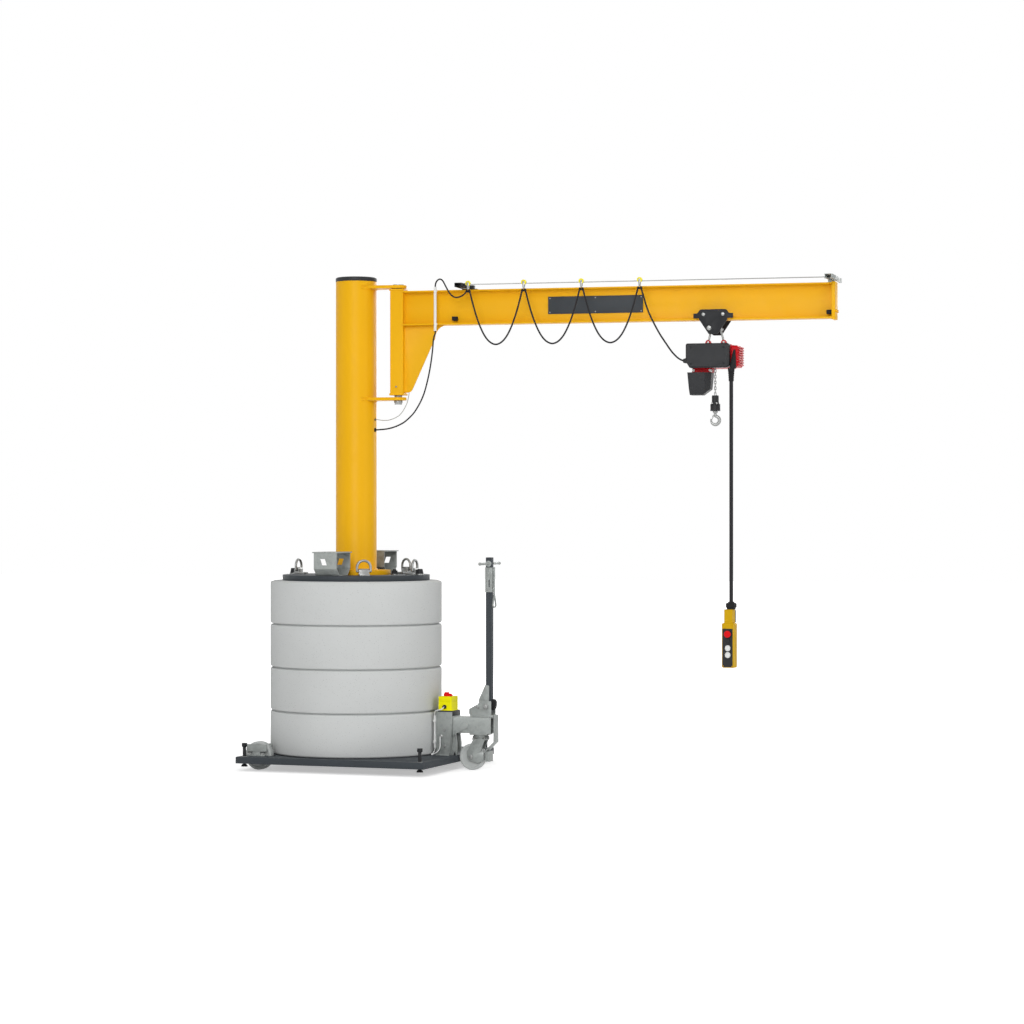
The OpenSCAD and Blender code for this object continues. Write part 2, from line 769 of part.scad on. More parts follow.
// The swivel head with kingpin, fork and axle of the castor, and the brake's strap and shoe
module castor_fork() {
    shoe_x = castor_x + castor_r + 7;
    color(zinc) {
        translate([kingpin_x, 0, castor_head_top - 8]) cylinder(d = 86, h = 8);
        translate([kingpin_x, 0, castor_head_top - 14]) cylinder(d = 66, h = 7);
        translate([kingpin_x, 0, castor_head_top - 1])
            cylinder(d = kingpin_d, h = yoke_z - castor_head_top + 1);
        translate([kingpin_x - 1, 0, fork_top]) rounded_plate(76, 2 * (fork_gap + fork_t), 7, 4);
        for (side = [-1, 1]) translate([0, side * (fork_gap + fork_t / 2), 0]) {
            fork_side();
            translate([castor_x, side * (fork_t / 2 + 3), castor_r]) rotate([90, 0, 0])
                cylinder(d = 25, h = 7, center = true, $fn = 6);
        }
        translate([castor_x, 0, castor_r]) bar_y(2 * (fork_gap + fork_t) + 14, castor_axle_d);
        in_xz(2 * strap_half_w) polygon([
            [strap_x, yoke_z + yoke_base_t], [strap_x, 152], [shoe_x + 3, 106], [shoe_x + 3, 99],
            [strap_x + strap_t, 150], [strap_x + strap_t, yoke_z + yoke_base_t]
        ]);
        translate([shoe_x, 0, 0]) difference() {
            translate([0, -24, 47]) cube([27, 48, 54]);
            translate([4, -20, 46]) cube([19, 40, 48]);
        }
    }
}

// The castor's plastic wheel
module castor_wheel() {
    color(nylon) translate([castor_x, 0, castor_r])
        plain_wheel(castor_d, castor_w, 40, castor_axle_d + 2 * bearing_gap);
}

// The yoke above the arm that steers the castor and carries the drawbar's tilt bolt
module drawbar_yoke() {
    color(zinc) difference() {
        union() {
            translate([kingpin_x - 39, -yoke_half_w - 4, yoke_z])
                cube([strap_x - kingpin_x + 39, 2 * yoke_half_w + 8, yoke_base_t - 4]);
            translate([kingpin_x - 48, -yoke_half_w, yoke_z + 4])
                cube([strap_x - kingpin_x + 48, 2 * yoke_half_w, yoke_base_t - 4]);
            for (side = [-1, 1]) translate([0, side * (yoke_half_w - yoke_t / 2), 0]) {
                in_xz(yoke_t) polygon([
                    [kingpin_x - 54, yoke_z + 17], [kingpin_x - 48, yoke_z + 10],
                    [kingpin_x + 70, yoke_z + 10], [kingpin_x + 70, 364], [kingpin_x + 66, 368],
                    [kingpin_x + 12, 368], [kingpin_x + 6, 364], [kingpin_x - 6, 350],
                    [kingpin_x - 18, 344], [kingpin_x - 54, 325]
                ]);
                translate([tilt_x, side * (yoke_t / 2 + 2), tilt_z]) bar_y(6, 30);
                for (x = [-14, -3]) translate([kingpin_x + x, side * (yoke_t / 2 + 3), 331 - x / 2])
                    rotate([90, 0, 0]) translate([0, 0, -4]) hexagon(10, 8);
            }
        }
        translate([tilt_x, 0, tilt_z])
            bar_y(2 * yoke_half_w + 30, tilt_pin_d + 2 * bearing_gap);
    }
}

// The drawbar's tube with its foot plates and tilt bolt
module drawbar() {
    half = drawbar_w / 2;
    wall = 3;
    cheek_t = 6;
    color(anthracite) difference() {
        translate([drawbar_x, 0, drawbar_low])
            rounded_plate(drawbar_w, drawbar_w, drawbar_top - drawbar_low, 4);
        translate([drawbar_x, 0, drawbar_low - 1])
            rounded_plate(drawbar_w - 2 * wall, drawbar_w - 2 * wall, drawbar_top - drawbar_low - 2, 2);
        translate([drawbar_x, 0, drawbar_top - handle_down]) bar_y(drawbar_w + 2, handle_d + 2 * fine);
    }
    color(zinc) {
        for (side = [-1, 1]) translate([0, side * (half + cheek_t / 2 - 0.5), 0]) in_xz(cheek_t) polygon([
            [tilt_x - 29, tilt_z - 17], [tilt_x - 22, tilt_z - 23], [drawbar_x + 4, tilt_z - 23],
            [drawbar_x + 4, tilt_z + 106], [drawbar_x, tilt_z + 111], [drawbar_x - half - 1, tilt_z + 111],
            [drawbar_x - half - 5, tilt_z + 104], [tilt_x - 45, tilt_z + 36], [tilt_x - 45, tilt_z + 20]
        ]);
        translate([tilt_x, 0, tilt_z]) bar_y(2 * yoke_half_w + 16, tilt_pin_d);
        for (side = [-1, 1]) translate([tilt_x, side * (yoke_half_w + 10), tilt_z])
            rotate([90, 0, 0]) translate([0, 0, -4]) hexagon(22, 8);
    }
    // the rounded stop in front of the tube's foot, kept clear of the arm when the bar is lowered
    color(black) in_xz(30) offset(3) offset(-3) polygon([
        [drawbar_x + half - 1, tilt_z - 21], [tilt_x + 34, tilt_z - 20], [tilt_x + 41, tilt_z - 9],
        [tilt_x + 44, tilt_z + 6], [tilt_x + 44, tilt_z + 26], [tilt_x + 38, tilt_z + 35],
        [tilt_x + 30, tilt_z + 38], [drawbar_x + half - 1, tilt_z + 38]
    ]);
}

// Cross handle, sleeve, release rod and pull ring at the drawbar's top
module drawbar_handle() {
    half = drawbar_w / 2;
    wall = 3;
    top = drawbar_top - sleeve_down;
    rod_x = drawbar_x + half + 10;
    ring_t = 6;
    ring_turn = 68;     // turned clear of the tube
    rod_d = 8;
    ring_top = top - sleeve_l - 16;
    color(zinc) {
        difference() {
            translate([drawbar_x, 0, top - sleeve_l])
                rounded_plate(drawbar_w + 2 * wall, drawbar_w + 2 * wall, sleeve_l, 5);
            translate([drawbar_x, 0, top - sleeve_l - 1])
                rounded_plate(drawbar_w + 2 * tiny, drawbar_w + 2 * tiny, sleeve_l + 2, 4);
            translate([drawbar_x + 4, 0, top - sleeve_l + 30]) in_xz(drawbar_w + 4 * wall) hull() {
                circle(r = 3);
                translate([0, 34]) circle(r = 3);
            }
        }
        translate([drawbar_x - 5, -half - wall - 4, top - 38]) bar_y(8, 11);
        translate([rod_x, 0, ring_top - 4]) cylinder(d = rod_d, h = top - ring_top + 6);
        for (z = [top - 20, top - sleeve_l + 12]) translate([drawbar_x + half + wall - 1, -6, z])
            cube([9, 12, 10]);
        translate([rod_x, 0, ring_top]) rotate([0, 0, ring_turn]) difference() {
            in_xz(ring_t) hull() {
                translate([0, -2]) circle(d = rod_d + 3);
                translate([0, -52]) circle(r = 15);
            }
            in_xz(ring_t + 2) hull() {
                translate([0, -18]) circle(d = 5);
                translate([0, -52]) circle(r = 8.5);
            }
        }
        translate([drawbar_x, 0, drawbar_top - handle_down]) {
            bar_y(handle_l - handle_d, handle_d);
            for (side = [-1, 1]) {
                translate([0, side * (handle_l - handle_d) / 2, 0]) sphere(d = handle_d, $fn = 32);
                translate([0, side * (half + 1.5), 0]) bar_y(3, 32);
            }
        }
    }
}

/* ---------------------------------------------------------------- jib */

gusset_low = 2004;

// The upright post with its foot and head plates, and the gusset that braces the beam
module jib_post() {
    half = post_w / 2;
    color(yellow) on_jib() {
        translate([0, 0, post_bottom])
            rounded_plate(post_w, post_w, post_top - post_bottom, 6);
        for (z = [post_bottom, post_top - 10])
            translate([0, 0, z]) rounded_plate(post_w + 8, post_w + 8, 10, 6);
        in_xz(gusset_t) polygon(concat(
            [[half - 1, gusset_low], [56, gusset_low], [70, gusset_low + 5], [81, gusset_low + 21]],
            [for (a = [0 : 15 : 90]) [270 - 66 * cos(a), beam_z - 70 + 70 * sin(a)]],
            [[half - 1, beam_z]]
        ));
    }
}

// Half of the I-section, to be mirrored about the web
module beam_quarter() {
    polygon(concat(
        [[0, beam_h / 2], [beam_b / 2, beam_h / 2], [beam_b / 2, beam_h / 2 - beam_tf]],
        [for (a = [0 : 15 : 90])
            [beam_tw / 2 + beam_root_r * (1 - sin(a)),
             beam_h / 2 - beam_tf - beam_root_r * (1 - cos(a))]],
        [[0, 0]]
    ));
}

// The rolled I-beam that the trolley runs on
module jib_beam() {
    color(yellow) on_jib() translate([post_w / 2, 0, beam_mid]) rotate([90, 0, 90])
        linear_extrude(beam_end - post_w / 2)
            for (sx = [0, 1], sy = [0, 1]) mirror([sx, 0]) mirror([0, sy]) beam_quarter();
}

// Two plates that close the beam's tip, with their bolts
module beam_end_plates() {
    color(yellow) on_jib() {
        for (i = [0, 1]) translate([beam_end + i * end_plate_t, -beam_b / 2 - 1, beam_z - 6 + i])
            cube([end_plate_t, beam_b + 2, beam_h + 11 - 2 * i]);
        for (q = [-28, 28]) translate([beam_end + 2 * end_plate_t - 1, q, beam_z + 38])
            rotate([0, 90, 0]) hexagon(13, 8);
    }
}

// The pins that the post turns on, with thrust ring, cap and nut
module pivot_pins() {
    color(steel) on_jib() {
        translate([0, 0, lower_bracket_z - 8])
            cylinder(d = pivot_pin_d, h = post_bottom - lower_bracket_z + 8);
        translate([0, 0, lower_bracket_z + bracket_t + fine])
            cylinder(d = 42, h = post_bottom - lower_bracket_z - bracket_t - fine);
        translate([0, 0, lower_bracket_z - 12 - fine]) cylinder(d = 46, h = 12);
        translate([0, 0, lower_bracket_z - 22]) hexagon(36, 12);
        translate([0, 0, post_top])
            cylinder(d = pivot_pin_d, h = upper_bracket_z + bracket_t - post_top + 2);
        translate([0, 0, upper_bracket_z + bracket_t + fine]) cylinder(d = 60, h = 4);
    }
}

// A bare panel on the beam's web
module beam_panel() {
    color(anthracite) on_jib()
        translate([panel_r, -beam_tw / 2 - 2, beam_mid - panel_h / 2 + 3]) cube([panel_l, 2, panel_h]);
}

stop_w = 27;
stop_z = beam_z + beam_tf + 25;
stop_places = [320, beam_end - 16];

// Rubber stops on both sides of the web at the ends of the trolley's run
module beam_stops() {
    color(black) on_jib() for (r = stop_places, side = [-1, 1])
        translate([r, side * (beam_tw / 2 + 15), stop_z - 11]) rounded_plate(stop_w, 30, 22, 3);
}

jib_conduit_r = 221;
jib_conduit_q = -beam_b / 2 - 8;

// The white conduit up the beam's side, with its clips
module jib_conduit() {
    color(white) on_jib() {
        translate([jib_conduit_r, jib_conduit_q, 2328]) difference() {
            cylinder(d = 15, h = 234);
            translate([0, 0, -1]) cylinder(d = supply_cable_d + 2, h = 20);
            translate([0, 0, 215]) cylinder(d = supply_cable_d + 2, h = 20);
        }
        for (z = [beam_z, beam_top - beam_tf])
            translate([jib_conduit_r - 9, -beam_b / 2 - 5, z]) cube([18, 5, beam_tf]);
    }
}

/* ---------------------------------------------------------------- cable line */

line_z = beam_top + line_rise;
arm_w = 38;
arm_h = 22;
arm_t = 3;
near_arm_z = beam_top + 4;
far_arm_z = beam_top + 13;
near_arm_r = 385;
far_arm_r = beam_end;

// A C-section arm across the beam, from q0 to q1, open underneath
module line_arm(r, z, q0, q1) {
    translate([r - arm_w / 2, q0, z]) difference() {
        cube([arm_w, q1 - q0, arm_h]);
        translate([arm_t, -1, arm_t]) cube([arm_w - 2 * arm_t, q1 - q0 + 2, arm_h - 2 * arm_t]);
        translate([arm_w / 2 - 8, -1, -1]) cube([16, q1 - q0 + 2, arm_t + 2]);
    }
}

// The arms at both ends, their clamps, and the steel wire that the cable cars hang on
module cable_line() {
    edge = beam_b / 2 - 3;
    on_jib() {
        color(black) line_arm(near_arm_r, near_arm_z, -190, 42);
        color(zinc) line_arm(far_arm_r, far_arm_z, -165, 185);
        color(yellow) {
            translate([near_arm_r - arm_w / 2, -edge, beam_top])
                cube([arm_w + 45, 40, near_arm_z - beam_top]);
            translate([near_arm_r + arm_w / 2, -edge, near_arm_z - 1]) cube([25, 34, 20]);
            translate([far_arm_r - arm_w / 2, -edge, beam_top])
                cube([beam_end - far_arm_r + arm_w / 2, 2 * edge, far_arm_z - beam_top]);
        }
        color(steel) {
            translate([0, -line_q, line_z])
                bar_x(near_arm_r + arm_w / 2 - 6, far_arm_r - arm_w / 2 + 6, line_wire_d);
            for (r = [near_arm_r + arm_w / 2 - 1, far_arm_r - arm_w / 2 - 5])
                translate([r, -line_q, line_z]) rotate([0, 90, 0]) hexagon(13, 6);
        }
    }
}

car_places = [near_arm_r + 39, 727, 1037, 1348];
clip_z = line_z - 28;

// A cable car: a grooved yellow roller on the wire in its stirrup, and a clip that holds the cable
module cable_car(i) {
    rim = roller_d / 2;
    on_jib() translate([car_places[i], -line_q, line_z]) {
        color("#f4e21c") difference() {
            translate([0, 0, 6]) rotate([90, 0, 0]) rotate_extrude() polygon([
                [0, -7], [rim, -7], [rim, -4], [rim - 3, -2], [rim - 3, 2], [rim, 4], [rim, 7], [0, 7]
            ]);
            rotate([0, 90, 0]) cylinder(d = line_wire_d + 2 * fine, h = roller_d + 2, center = true);
        }
        color(steel) {
            for (side = [-1, 1]) translate([0, side * 8, -20]) hull() {
                translate([-5, -1, 0]) cube([10, 2, 2]);
                translate([0, 0, 26]) rotate([90, 0, 0]) cylinder(d = 12, h = 2, center = true);
            }
            translate([0, 0, -23]) rotate([90, 0, 0]) cylinder(d = 9, h = 18, center = true);
        }
    }
}

module cable_car_1() { cable_car(0); }
module cable_car_2() { cable_car(1); }
module cable_car_3() { cable_car(2); }
module cable_car_4() { cable_car(3); }

// Half of a hanging loop from its clip, across and down; the other half mirrors it
loop_half = [
    [0, 0], [6, -20], [16, -56], [30, -104], [47, -154], [68, -204], [93, -248], [122, -278]
];
loop_bottom = -290;

// A loop between the clips at a and b, in the jib's frame
function loop_route(a, b) = let (half = (b - a) / 2, k = half / 155) concat(
    [for (p = loop_half) [a + p[0] * k, -line_q, clip_z + p[1]]],
    [[a + half, -line_q, clip_z + loop_bottom]],
    [for (i = [len(loop_half) - 1 : -1 : 0])
        [b - loop_half[i][0] * k, -line_q, clip_z + loop_half[i][1]]]
);

// The last stretch, from the fourth clip to the hoist's side
lead_route = [
    [1354, -130, 2537], [1359, -130, 2517], [1369, -129, 2484], [1382, -127, 2438],
    [1400, -124, 2390], [1424, -120, 2340], [1452, -114, 2288], [1484, -106, 2238],
    [1514, -97, 2194], [1543, -87, 2164], [1568, -79, 2151], [1590, -78, 2150]
];

// The flat cable in its loops under the cable cars
module loop_cables() {
    color(black) on_jib() {
        for (i = [0 : 2])
            cord(smooth(loop_route(car_places[i] + 6, car_places[i + 1] - 6), 2), loop_cable_d);
        cord(smooth(lead_route, 2), loop_cable_d, side = [0, 0, 1] + [0, 1, 0]);
    }
}

// From the column's hole to the foot of the jib's conduit
supply_route = [
    [104, 0, 1807], [120, 0, 1807], [142, -1, 1808], [178, -3, 1811], [214, -6, 1818],
    [250, -9, 1830], [284, -13, 1846], [314, -17, 1868], [342, -20, 1894], [366, -23, 1926],
    [388, -26, 1962], [406, -28, 2002], [420, -30, 2046], [432, -31, 2092], [442, -32, 2140],
    [450, -32, 2190], [456, -32, 2240], [460, -32, 2286], [470, -32, 2318], [470, -32, 2342]
];
earth_route = [
    [104, 0, 1862], [120, 0, 1862], [148, 0, 1858], [177, 0, 1857], [204, 1, 1862],
    [226, 2, 1870], [250, 3, 1884], [268, 4, 1904], [282, 4, 1926], [293, 5, 1949],
    [300, 5, 1974], [305, 6, 2002]
];
// From the conduit's top up, over and down to the first cable car, in the jib's frame
top_route = [
    [221, -53, 2544], [221, -53, 2562], [223, -54, 2577], [229, -57, 2590], [239, -60, 2599],
    [250, -64, 2602], [261, -68, 2598], [271, -72, 2588], [280, -76, 2573], [290, -80, 2556],
    [301, -84, 2538], [314, -90, 2521], [331, -98, 2507], [352, -107, 2500], [374, -116, 2502],
    [393, -123, 2509], [406, -127, 2519], [414, -129, 2528], [418, -130, 2536]
];

// Supply cable, earth wire and the loop on top of the beam
module supply_cables() {
    color(black) {
        cord(smooth(supply_route, 2), supply_cable_d, side = [0, 1, 0]);
        on_jib() cord(smooth(top_route, 2), supply_cable_d, side = [0, 1, 0]);
    }
    color(steel) cord(smooth(earth_route, 2), earth_wire_d, side = [0, 1, 0]);
}

/* ---------------------------------------------------------------- trolley */

side_q = beam_b / 2 + trolley_side_gap + trolley_plate_t / 2;
wheel_axle_z = beam_z + beam_tf + trolley_wheel_d / 2 + fine;
spindle_z = beam_z - 42;
spindle_places = [-21, 27];
eye_mid_x = 5;
eye_apart = 82;
eye_pin_z = hoist_z + hoist_h + 12;

// A side plate of the trolley with its bumper wings and the tapered part under the beam
module trolley_side() {
    in_xz(trolley_plate_t) for (m = [0, 1]) mirror([m, 0]) polygon([
        [0, beam_z + 55], [64, beam_z + 55], [72, beam_z + 51], [78, beam_z + 40],
        [86, beam_z + 34], [104, beam_z + 34], [104, beam_z + 9], [75, beam_z + 9],
        [72, beam_z], [32, beam_z - 60], [24, beam_z - 72], [16, beam_z - 74], [0, beam_z - 74]
    ]);
}

// Side plates with their wheel bolts and the spindles that join them under the beam
module trolley_frame() {
    on_trolley() {
        color(black) {
            for (side = [-1, 1]) translate([0, side * side_q, 0]) trolley_side();
            for (x = spindle_places) translate([x, 0, spindle_z])
                bar_y(2 * side_q + trolley_plate_t, 18);
        }
        color(steel) {
            for (side = [-1, 1], x = [-1, 1])
                translate([x * trolley_wheelbase / 2, side * (side_q - 8), wheel_axle_z])
                    bar_y(32, 14);
            for (side = [-1, 1]) translate([spindle_places[0],
                side * (side_q + trolley_plate_t / 2), spindle_z]) {
                bar_y(8, 24);
                translate([0, side * 8, 0]) rotate([90, 0, 0]) translate([0, 0, -5]) hexagon(19, 10);
            }
            for (i = [0, 1]) let (x = eye_mid_x + (i * 2 - 1) * eye_apart / 2, top = spindle_places[i])
                hull() {
                    translate([x, 0, eye_pin_z]) sphere(d = 11, $fn = 24);
                    translate([top, 0, spindle_z]) sphere(d = 11, $fn = 24);
                }
            for (x = [-1, 1]) translate([eye_mid_x + x * eye_apart / 2, 0, eye_pin_z]) bar_y(36, 12);
        }
    }
}

// Four flanged wheels on the beam's lower flange
module trolley_wheels() {
    color(steel) on_trolley() for (side = [-1, 1], x = [-1, 1])
        translate([x * trolley_wheelbase / 2, side * (beam_b / 2 - 12), wheel_axle_z])
            rotate([side * 90, 0, 0]) difference() {
                union() {
                    translate([0, 0, -14]) cylinder(d = trolley_wheel_d, h = 22);
                    translate([0, 0, -17]) cylinder(d = trolley_wheel_d + 6, h = 4);
                }
                translate([0, 0, -20]) cylinder(d = 14 + 2 * bearing_gap, h = 40);
            }
}

/* ---------------------------------------------------------------- hoist */

hoist_top = hoist_z + hoist_h;

// A block with its upright edges rounded and its top and bottom rims bevelled
module soft_block(l, w, h, r, rim = 4) {
    hull() {
        translate([0, 0, rim]) rounded_plate(l, w, h - 2 * rim, r);
        rounded_plate(l - 2 * rim, w - 2 * rim, h, r);
    }
}

// A housing along the beam from x0 to x1, with its rounded edges lying that way
module lying_housing(x0, x1, low, high, r) {
    translate([x0, (hoist_split_q + hoist_back) / 2, (low + high) / 2]) rotate([90, 0, 90])
        soft_block(hoist_back - hoist_split_q, high - low, x1 - x0, r, 6);
}

hoist_back = 107;       // how far the housing reaches behind the beam's web
hoist_split_q = -55;    // where the dark cover meets the red housing
cover_front = -96;
cover_x0 = -140;
cover_x1 = 90;
gear_x0 = -122;
motor_x1 = 127;
fin_out = 7;
fins = 8;

// The red gear and motor housing, its cooling fins, suspension eyes and chain guide
module hoist_housing() {
    color(red) on_trolley() difference() {
        union() {
            lying_housing(gear_x0, cover_x1 + 6, hoist_z, hoist_top, 14);
            lying_housing(cover_x1, motor_x1, hoist_z + 4, hoist_top - 6, 18);
            for (i = [0 : fins - 1]) let (pitch = (hoist_h - 34) / (fins - 1))
                translate([motor_x1 - 12, hoist_split_q + 16, hoist_z + 14 + i * pitch])
                    cube([12 + fin_out, hoist_back - hoist_split_q - 30, pitch * 0.6]);
            translate([guide_x0, -guide_w / 2, hoist_z - guide_h]) cube([guide_l, guide_w, guide_h + 8]);
            for (x = [-1, 1]) translate([eye_mid_x + x * eye_apart / 2, 0, hoist_top - 3])
                difference() {
                    in_xz(30) hull() {
                        translate([-18, 0]) square([36, 4]);
                        translate([0, eye_pin_z - hoist_top + 3]) circle(d = 26);
                    }
                    translate([-19, -7, 2]) cube([38, 14, 40]);
                }
        }
        for (x = [-1, 1]) translate([eye_mid_x + x * eye_apart / 2, 0, eye_pin_z])
            bar_y(40, 12 + 2 * bearing_gap);
        // where the chain goes in
        translate([0, 0, hoist_z - 1]) cylinder(d = 20, h = 17);
    }
    color(steel) on_trolley() for (x = [guide_x0 + 8, -22], side = [-1, 1])
        translate([x, side * guide_w / 2, hoist_z - guide_h / 2]) rotate([90, 0, 0])
            translate([0, 0, -4]) hexagon(13, 8);
}

guide_x0 = -118;
guide_l = 107;
guide_w = 52;
guide_h = 22;

// The dark front cover of the hoist, with its bevelled left edge
module hoist_cover() {
    l = cover_x1 - cover_x0;
    h = hoist_h + 6;
    color(black) on_trolley() translate([cover_x0, 0, hoist_z - 1]) difference() {
        hull() {
            translate([0, hoist_split_q, 0]) rotate([90, 0, 0])
                linear_extrude(1) cover_outline(l, h, 0);
            translate([0, cover_front + 8, 0]) rotate([90, 0, 0])
                linear_extrude(1) cover_outline(l, h, 1);
            translate([0, cover_front + 1, 0]) rotate([90, 0, 0])
                linear_extrude(1) cover_outline(l, h, 8);
        }
        // socket of the supply lead
        translate([-1, lead_q, lead_z - hoist_z + 1]) rotate([0, 90, 0])
            cylinder(d = loop_cable_d + 5, h = 16);
    }
}

// The cover's outline: rounded at the right, cut off at the lower left
module cover_outline(l, h, in) {
    offset(-in) hull() {
        translate([12, h - 12]) circle(r = 12);
        translate([l - 14, h - 14]) circle(r = 14);
        translate([l - 16, 16]) circle(r = 16);
        translate([6, 34]) circle(r = 6);
        translate([24, 6]) circle(r = 6);
    }
}

lead_q = -78;
lead_z = 2150;
container_top = hoist_z - guide_h;
container_low = 1974;

// The container's plan at a height: flat front, one bevelled corner; in shrinks it
module container_plan(in) {
    offset(3) offset(-in - 3) polygon([
        [-138, -55], [-46, -55], [-16, -25], [-16, 55], [-138, 55]
    ]);
}

// The bag-like container that takes the slack chain, drawn in towards its slanted bottom
module chain_container() {
    wall = 3;
    color(black) on_trolley() difference() {
        hull() {
            translate([0, 0, container_top - 1]) linear_extrude(1) container_plan(0);
            translate([0, 0, container_low + 30]) linear_extrude(1) container_plan(7);
            translate([0, 0, container_low]) linear_extrude(1) intersection() {
                container_plan(11);
                translate([-141, -55]) square([76, 110]);
            }
        }
        hull() {
            translate([0, 0, container_top]) linear_extrude(1) container_plan(wall);
            translate([0, 0, container_low + 30]) linear_extrude(1) container_plan(7 + wall);
        }
    }
}

chain_top = hoist_z + 12;

// One round-steel link standing upright
module chain_link() {
    r = chain_wire_d / 2 + 2.4;
    half = chain_pitch / 2 + chain_wire_d / 2 - r;
    for (end = [0, 1]) mirror([0, 0, end]) translate([0, 0, half])
        rotate([90, 0, 0]) rotate_extrude(angle = 180, $fn = 36) translate([r, 0])
            circle(d = chain_wire_d, $fn = 16);
    for (side = [-1, 1]) translate([side * r, 0, 0])
        cylinder(d = chain_wire_d, h = 2 * half, center = true, $fn = 16);
}

// The links between the hoist and the hook block
module load_chain() {
    n = floor((chain_top - hook_block_top) / chain_pitch);
    color(steel) on_trolley()
        for (i = [0 : n - 1])
            translate([0, 0, hook_block_top + 7 + i * chain_pitch]) rotate([0, 0, i % 2 * 90])
                chain_link();
}

hook_block_low = hook_block_top - hook_block_h;
hook_neck_d = 16;
hook_mid_z = hook_block_low - 49;

// The plastic-clad hook block with its swivel bearing
module hook_block() {
    color(black) on_trolley() difference() {
        translate([0, 0, hook_block_low]) union() {
            rotate_extrude($fn = 64) polygon([
                [0, 0], [26, 0], [26.5, 3], [24.5, 16], [22, 34], [19.5, 42], [18, 50],
                [18, hook_block_h - 2], [16, hook_block_h], [0, hook_block_h]
            ]);
            for (a = [0 : 45 : 315]) rotate([0, 0, a]) translate([19, -3, 2]) cube([6.5, 6, 34]);
        }
        translate([0, 0, hook_block_top - 14]) cylinder(d = 18, h = 15);
        translate([0, 0, hook_block_low - 1]) cylinder(d = hook_neck_d + 2 * bearing_gap, h = 11);
    }
}

// How thick the hook's bar is in its plane at an angle of the bend
function hook_bar(a) = a > 60 ? 14 : a > -60 ? 18 : a > -130 ? 17 : a > -180 ? 12 : 8;

hook_bend = [for (a = [96 : -12 : -204]) [hook_r * cos(a), 0, hook_r * sin(a)]];
hook_bars = [for (a = [96 : -12 : -204]) hook_bar(a)];
hook_tilt = [for (i = [0 : len(hook_bend) - 1]) heading(hook_bend, i)];

// The forged bend: oval rings along it, thinner towards the tip
module hook_bend_bar(sides = 16) {
    last = len(hook_bend) - 1;
    bars = [for (i = [0 : last]) (hook_bars[max(i - 2, 0)] + hook_bars[max(i - 1, 0)] + hook_bars[i]
        + hook_bars[min(i + 1, last)] + hook_bars[min(i + 2, last)]) / 5];
    points = [for (i = [0 : last]) let (out = cross(hook_tilt[i], [0, 1, 0]))
        each [for (k = [0 : sides - 1])
            hook_bend[i] + bars[i] / 2 * cos(360 * k / sides) * out
                + [0, hook_t / 2 * sin(360 * k / sides), 0]]];
    walls = [for (i = [0 : last - 1], k = [0 : sides - 1]) let (n = (k + 1) % sides)
        [i * sides + k, i * sides + n, (i + 1) * sides + n, (i + 1) * sides + k]];
    polyhedron(points, concat([[for (k = [sides - 1 : -1 : 0]) k]], walls,
        [[for (k = [0 : sides - 1]) last * sides + k]]), convexity = 6);
}

latch_x = -12;
latch_z = hook_mid_z + hook_r + 2;
latch_tilt = 4;
latch_pin_d = 4;

// The swivelling load hook: shank, forged bend and the lug that holds the latch
module hook() {
    color(steel) on_trolley() difference() {
        union() {
            translate([0, 0, hook_mid_z + hook_r - 2])
                cylinder(d = hook_neck_d, h = hook_block_low - hook_mid_z - hook_r + 11);
            translate([0, 0, hook_block_low - 9 - fine]) cylinder(d = 26, h = 9);
            translate([0, 0, hook_mid_z]) hook_bend_bar();
            hull() {
                translate([latch_x, 0, latch_z]) bar_y(8, 9);
                translate([0, 0, latch_z]) bar_y(8, 12);
            }
        }
        translate([latch_x, 0, latch_z]) bar_y(12, latch_pin_d + 2 * bearing_gap);
    }
}

// The spring latch across the hook's mouth: a folded plate whose cheeks hold the pin
module hook_latch() {
    reach = 18;
    color(steel) on_trolley() translate([latch_x, 0, latch_z]) {
        bar_y(12, latch_pin_d);
        for (side = [-1, 1]) translate([0, side * 5.5, 0]) in_xz(1.6) rotate(-latch_tilt) hull() {
            circle(d = 7);
            translate([-3, -reach * 0.6]) square([3.5, 1]);
        }
        rotate([0, latch_tilt, 0]) translate([-3, -6.3, -reach]) cube([1.6, 12.6, reach - 6]);
    }
}

/* ---------------------------------------------------------------- pendant */

pendant_x = 99;
pendant_q = -82;
pendant_box_x = -10;    // the box hangs a little off its cable
pendant_neck_w = 46;
pendant_neck_d = 44;
pendant_neck_h = 70;
pendant_collar_h = 40;
pendant_seam = 202;     // height of the lid's parting line on the box
pendant_top = pendant_z + pendant_h + pendant_neck_h + pendant_collar_h;
boot_low = hoist_z - 72;
stop_button_d = 36;
small_button_d = 26;
run_button_d = 33;
stop_button_z = pendant_z + 174;
button_pitch = 35;
button_x = 3;

module on_pendant() {
    on_trolley() translate([pendant_x, pendant_q, 0]) rotate([0, 0, pendant_turn]) children();
}

pendant_route = [
    [0, 0, 2047], [0, 0, 1990], [0, 0, 1940], [0, 0, 1880], [0, 0, 1820], [0, 0, 1760],
    [0, 0, 1700], [0, 0, 1640], [0, 0, 1580], [0, 0, 1520], [0, 0, 1460], [0, 0, 1400],
    [0, 0, 1340], [0, 0, 1280], [0, 0, 1220], [0, 0, 1160], [0, 0, 1100], [0, 0, 1040],
    [0, 0, 980], [0, 0, 930], [0, 0, 884]
];

// The control cable that hangs from the hoist to the pendant
module pendant_cable() {
    color(black) on_pendant() cord(pendant_route, pendant_cable_d, 12);
}

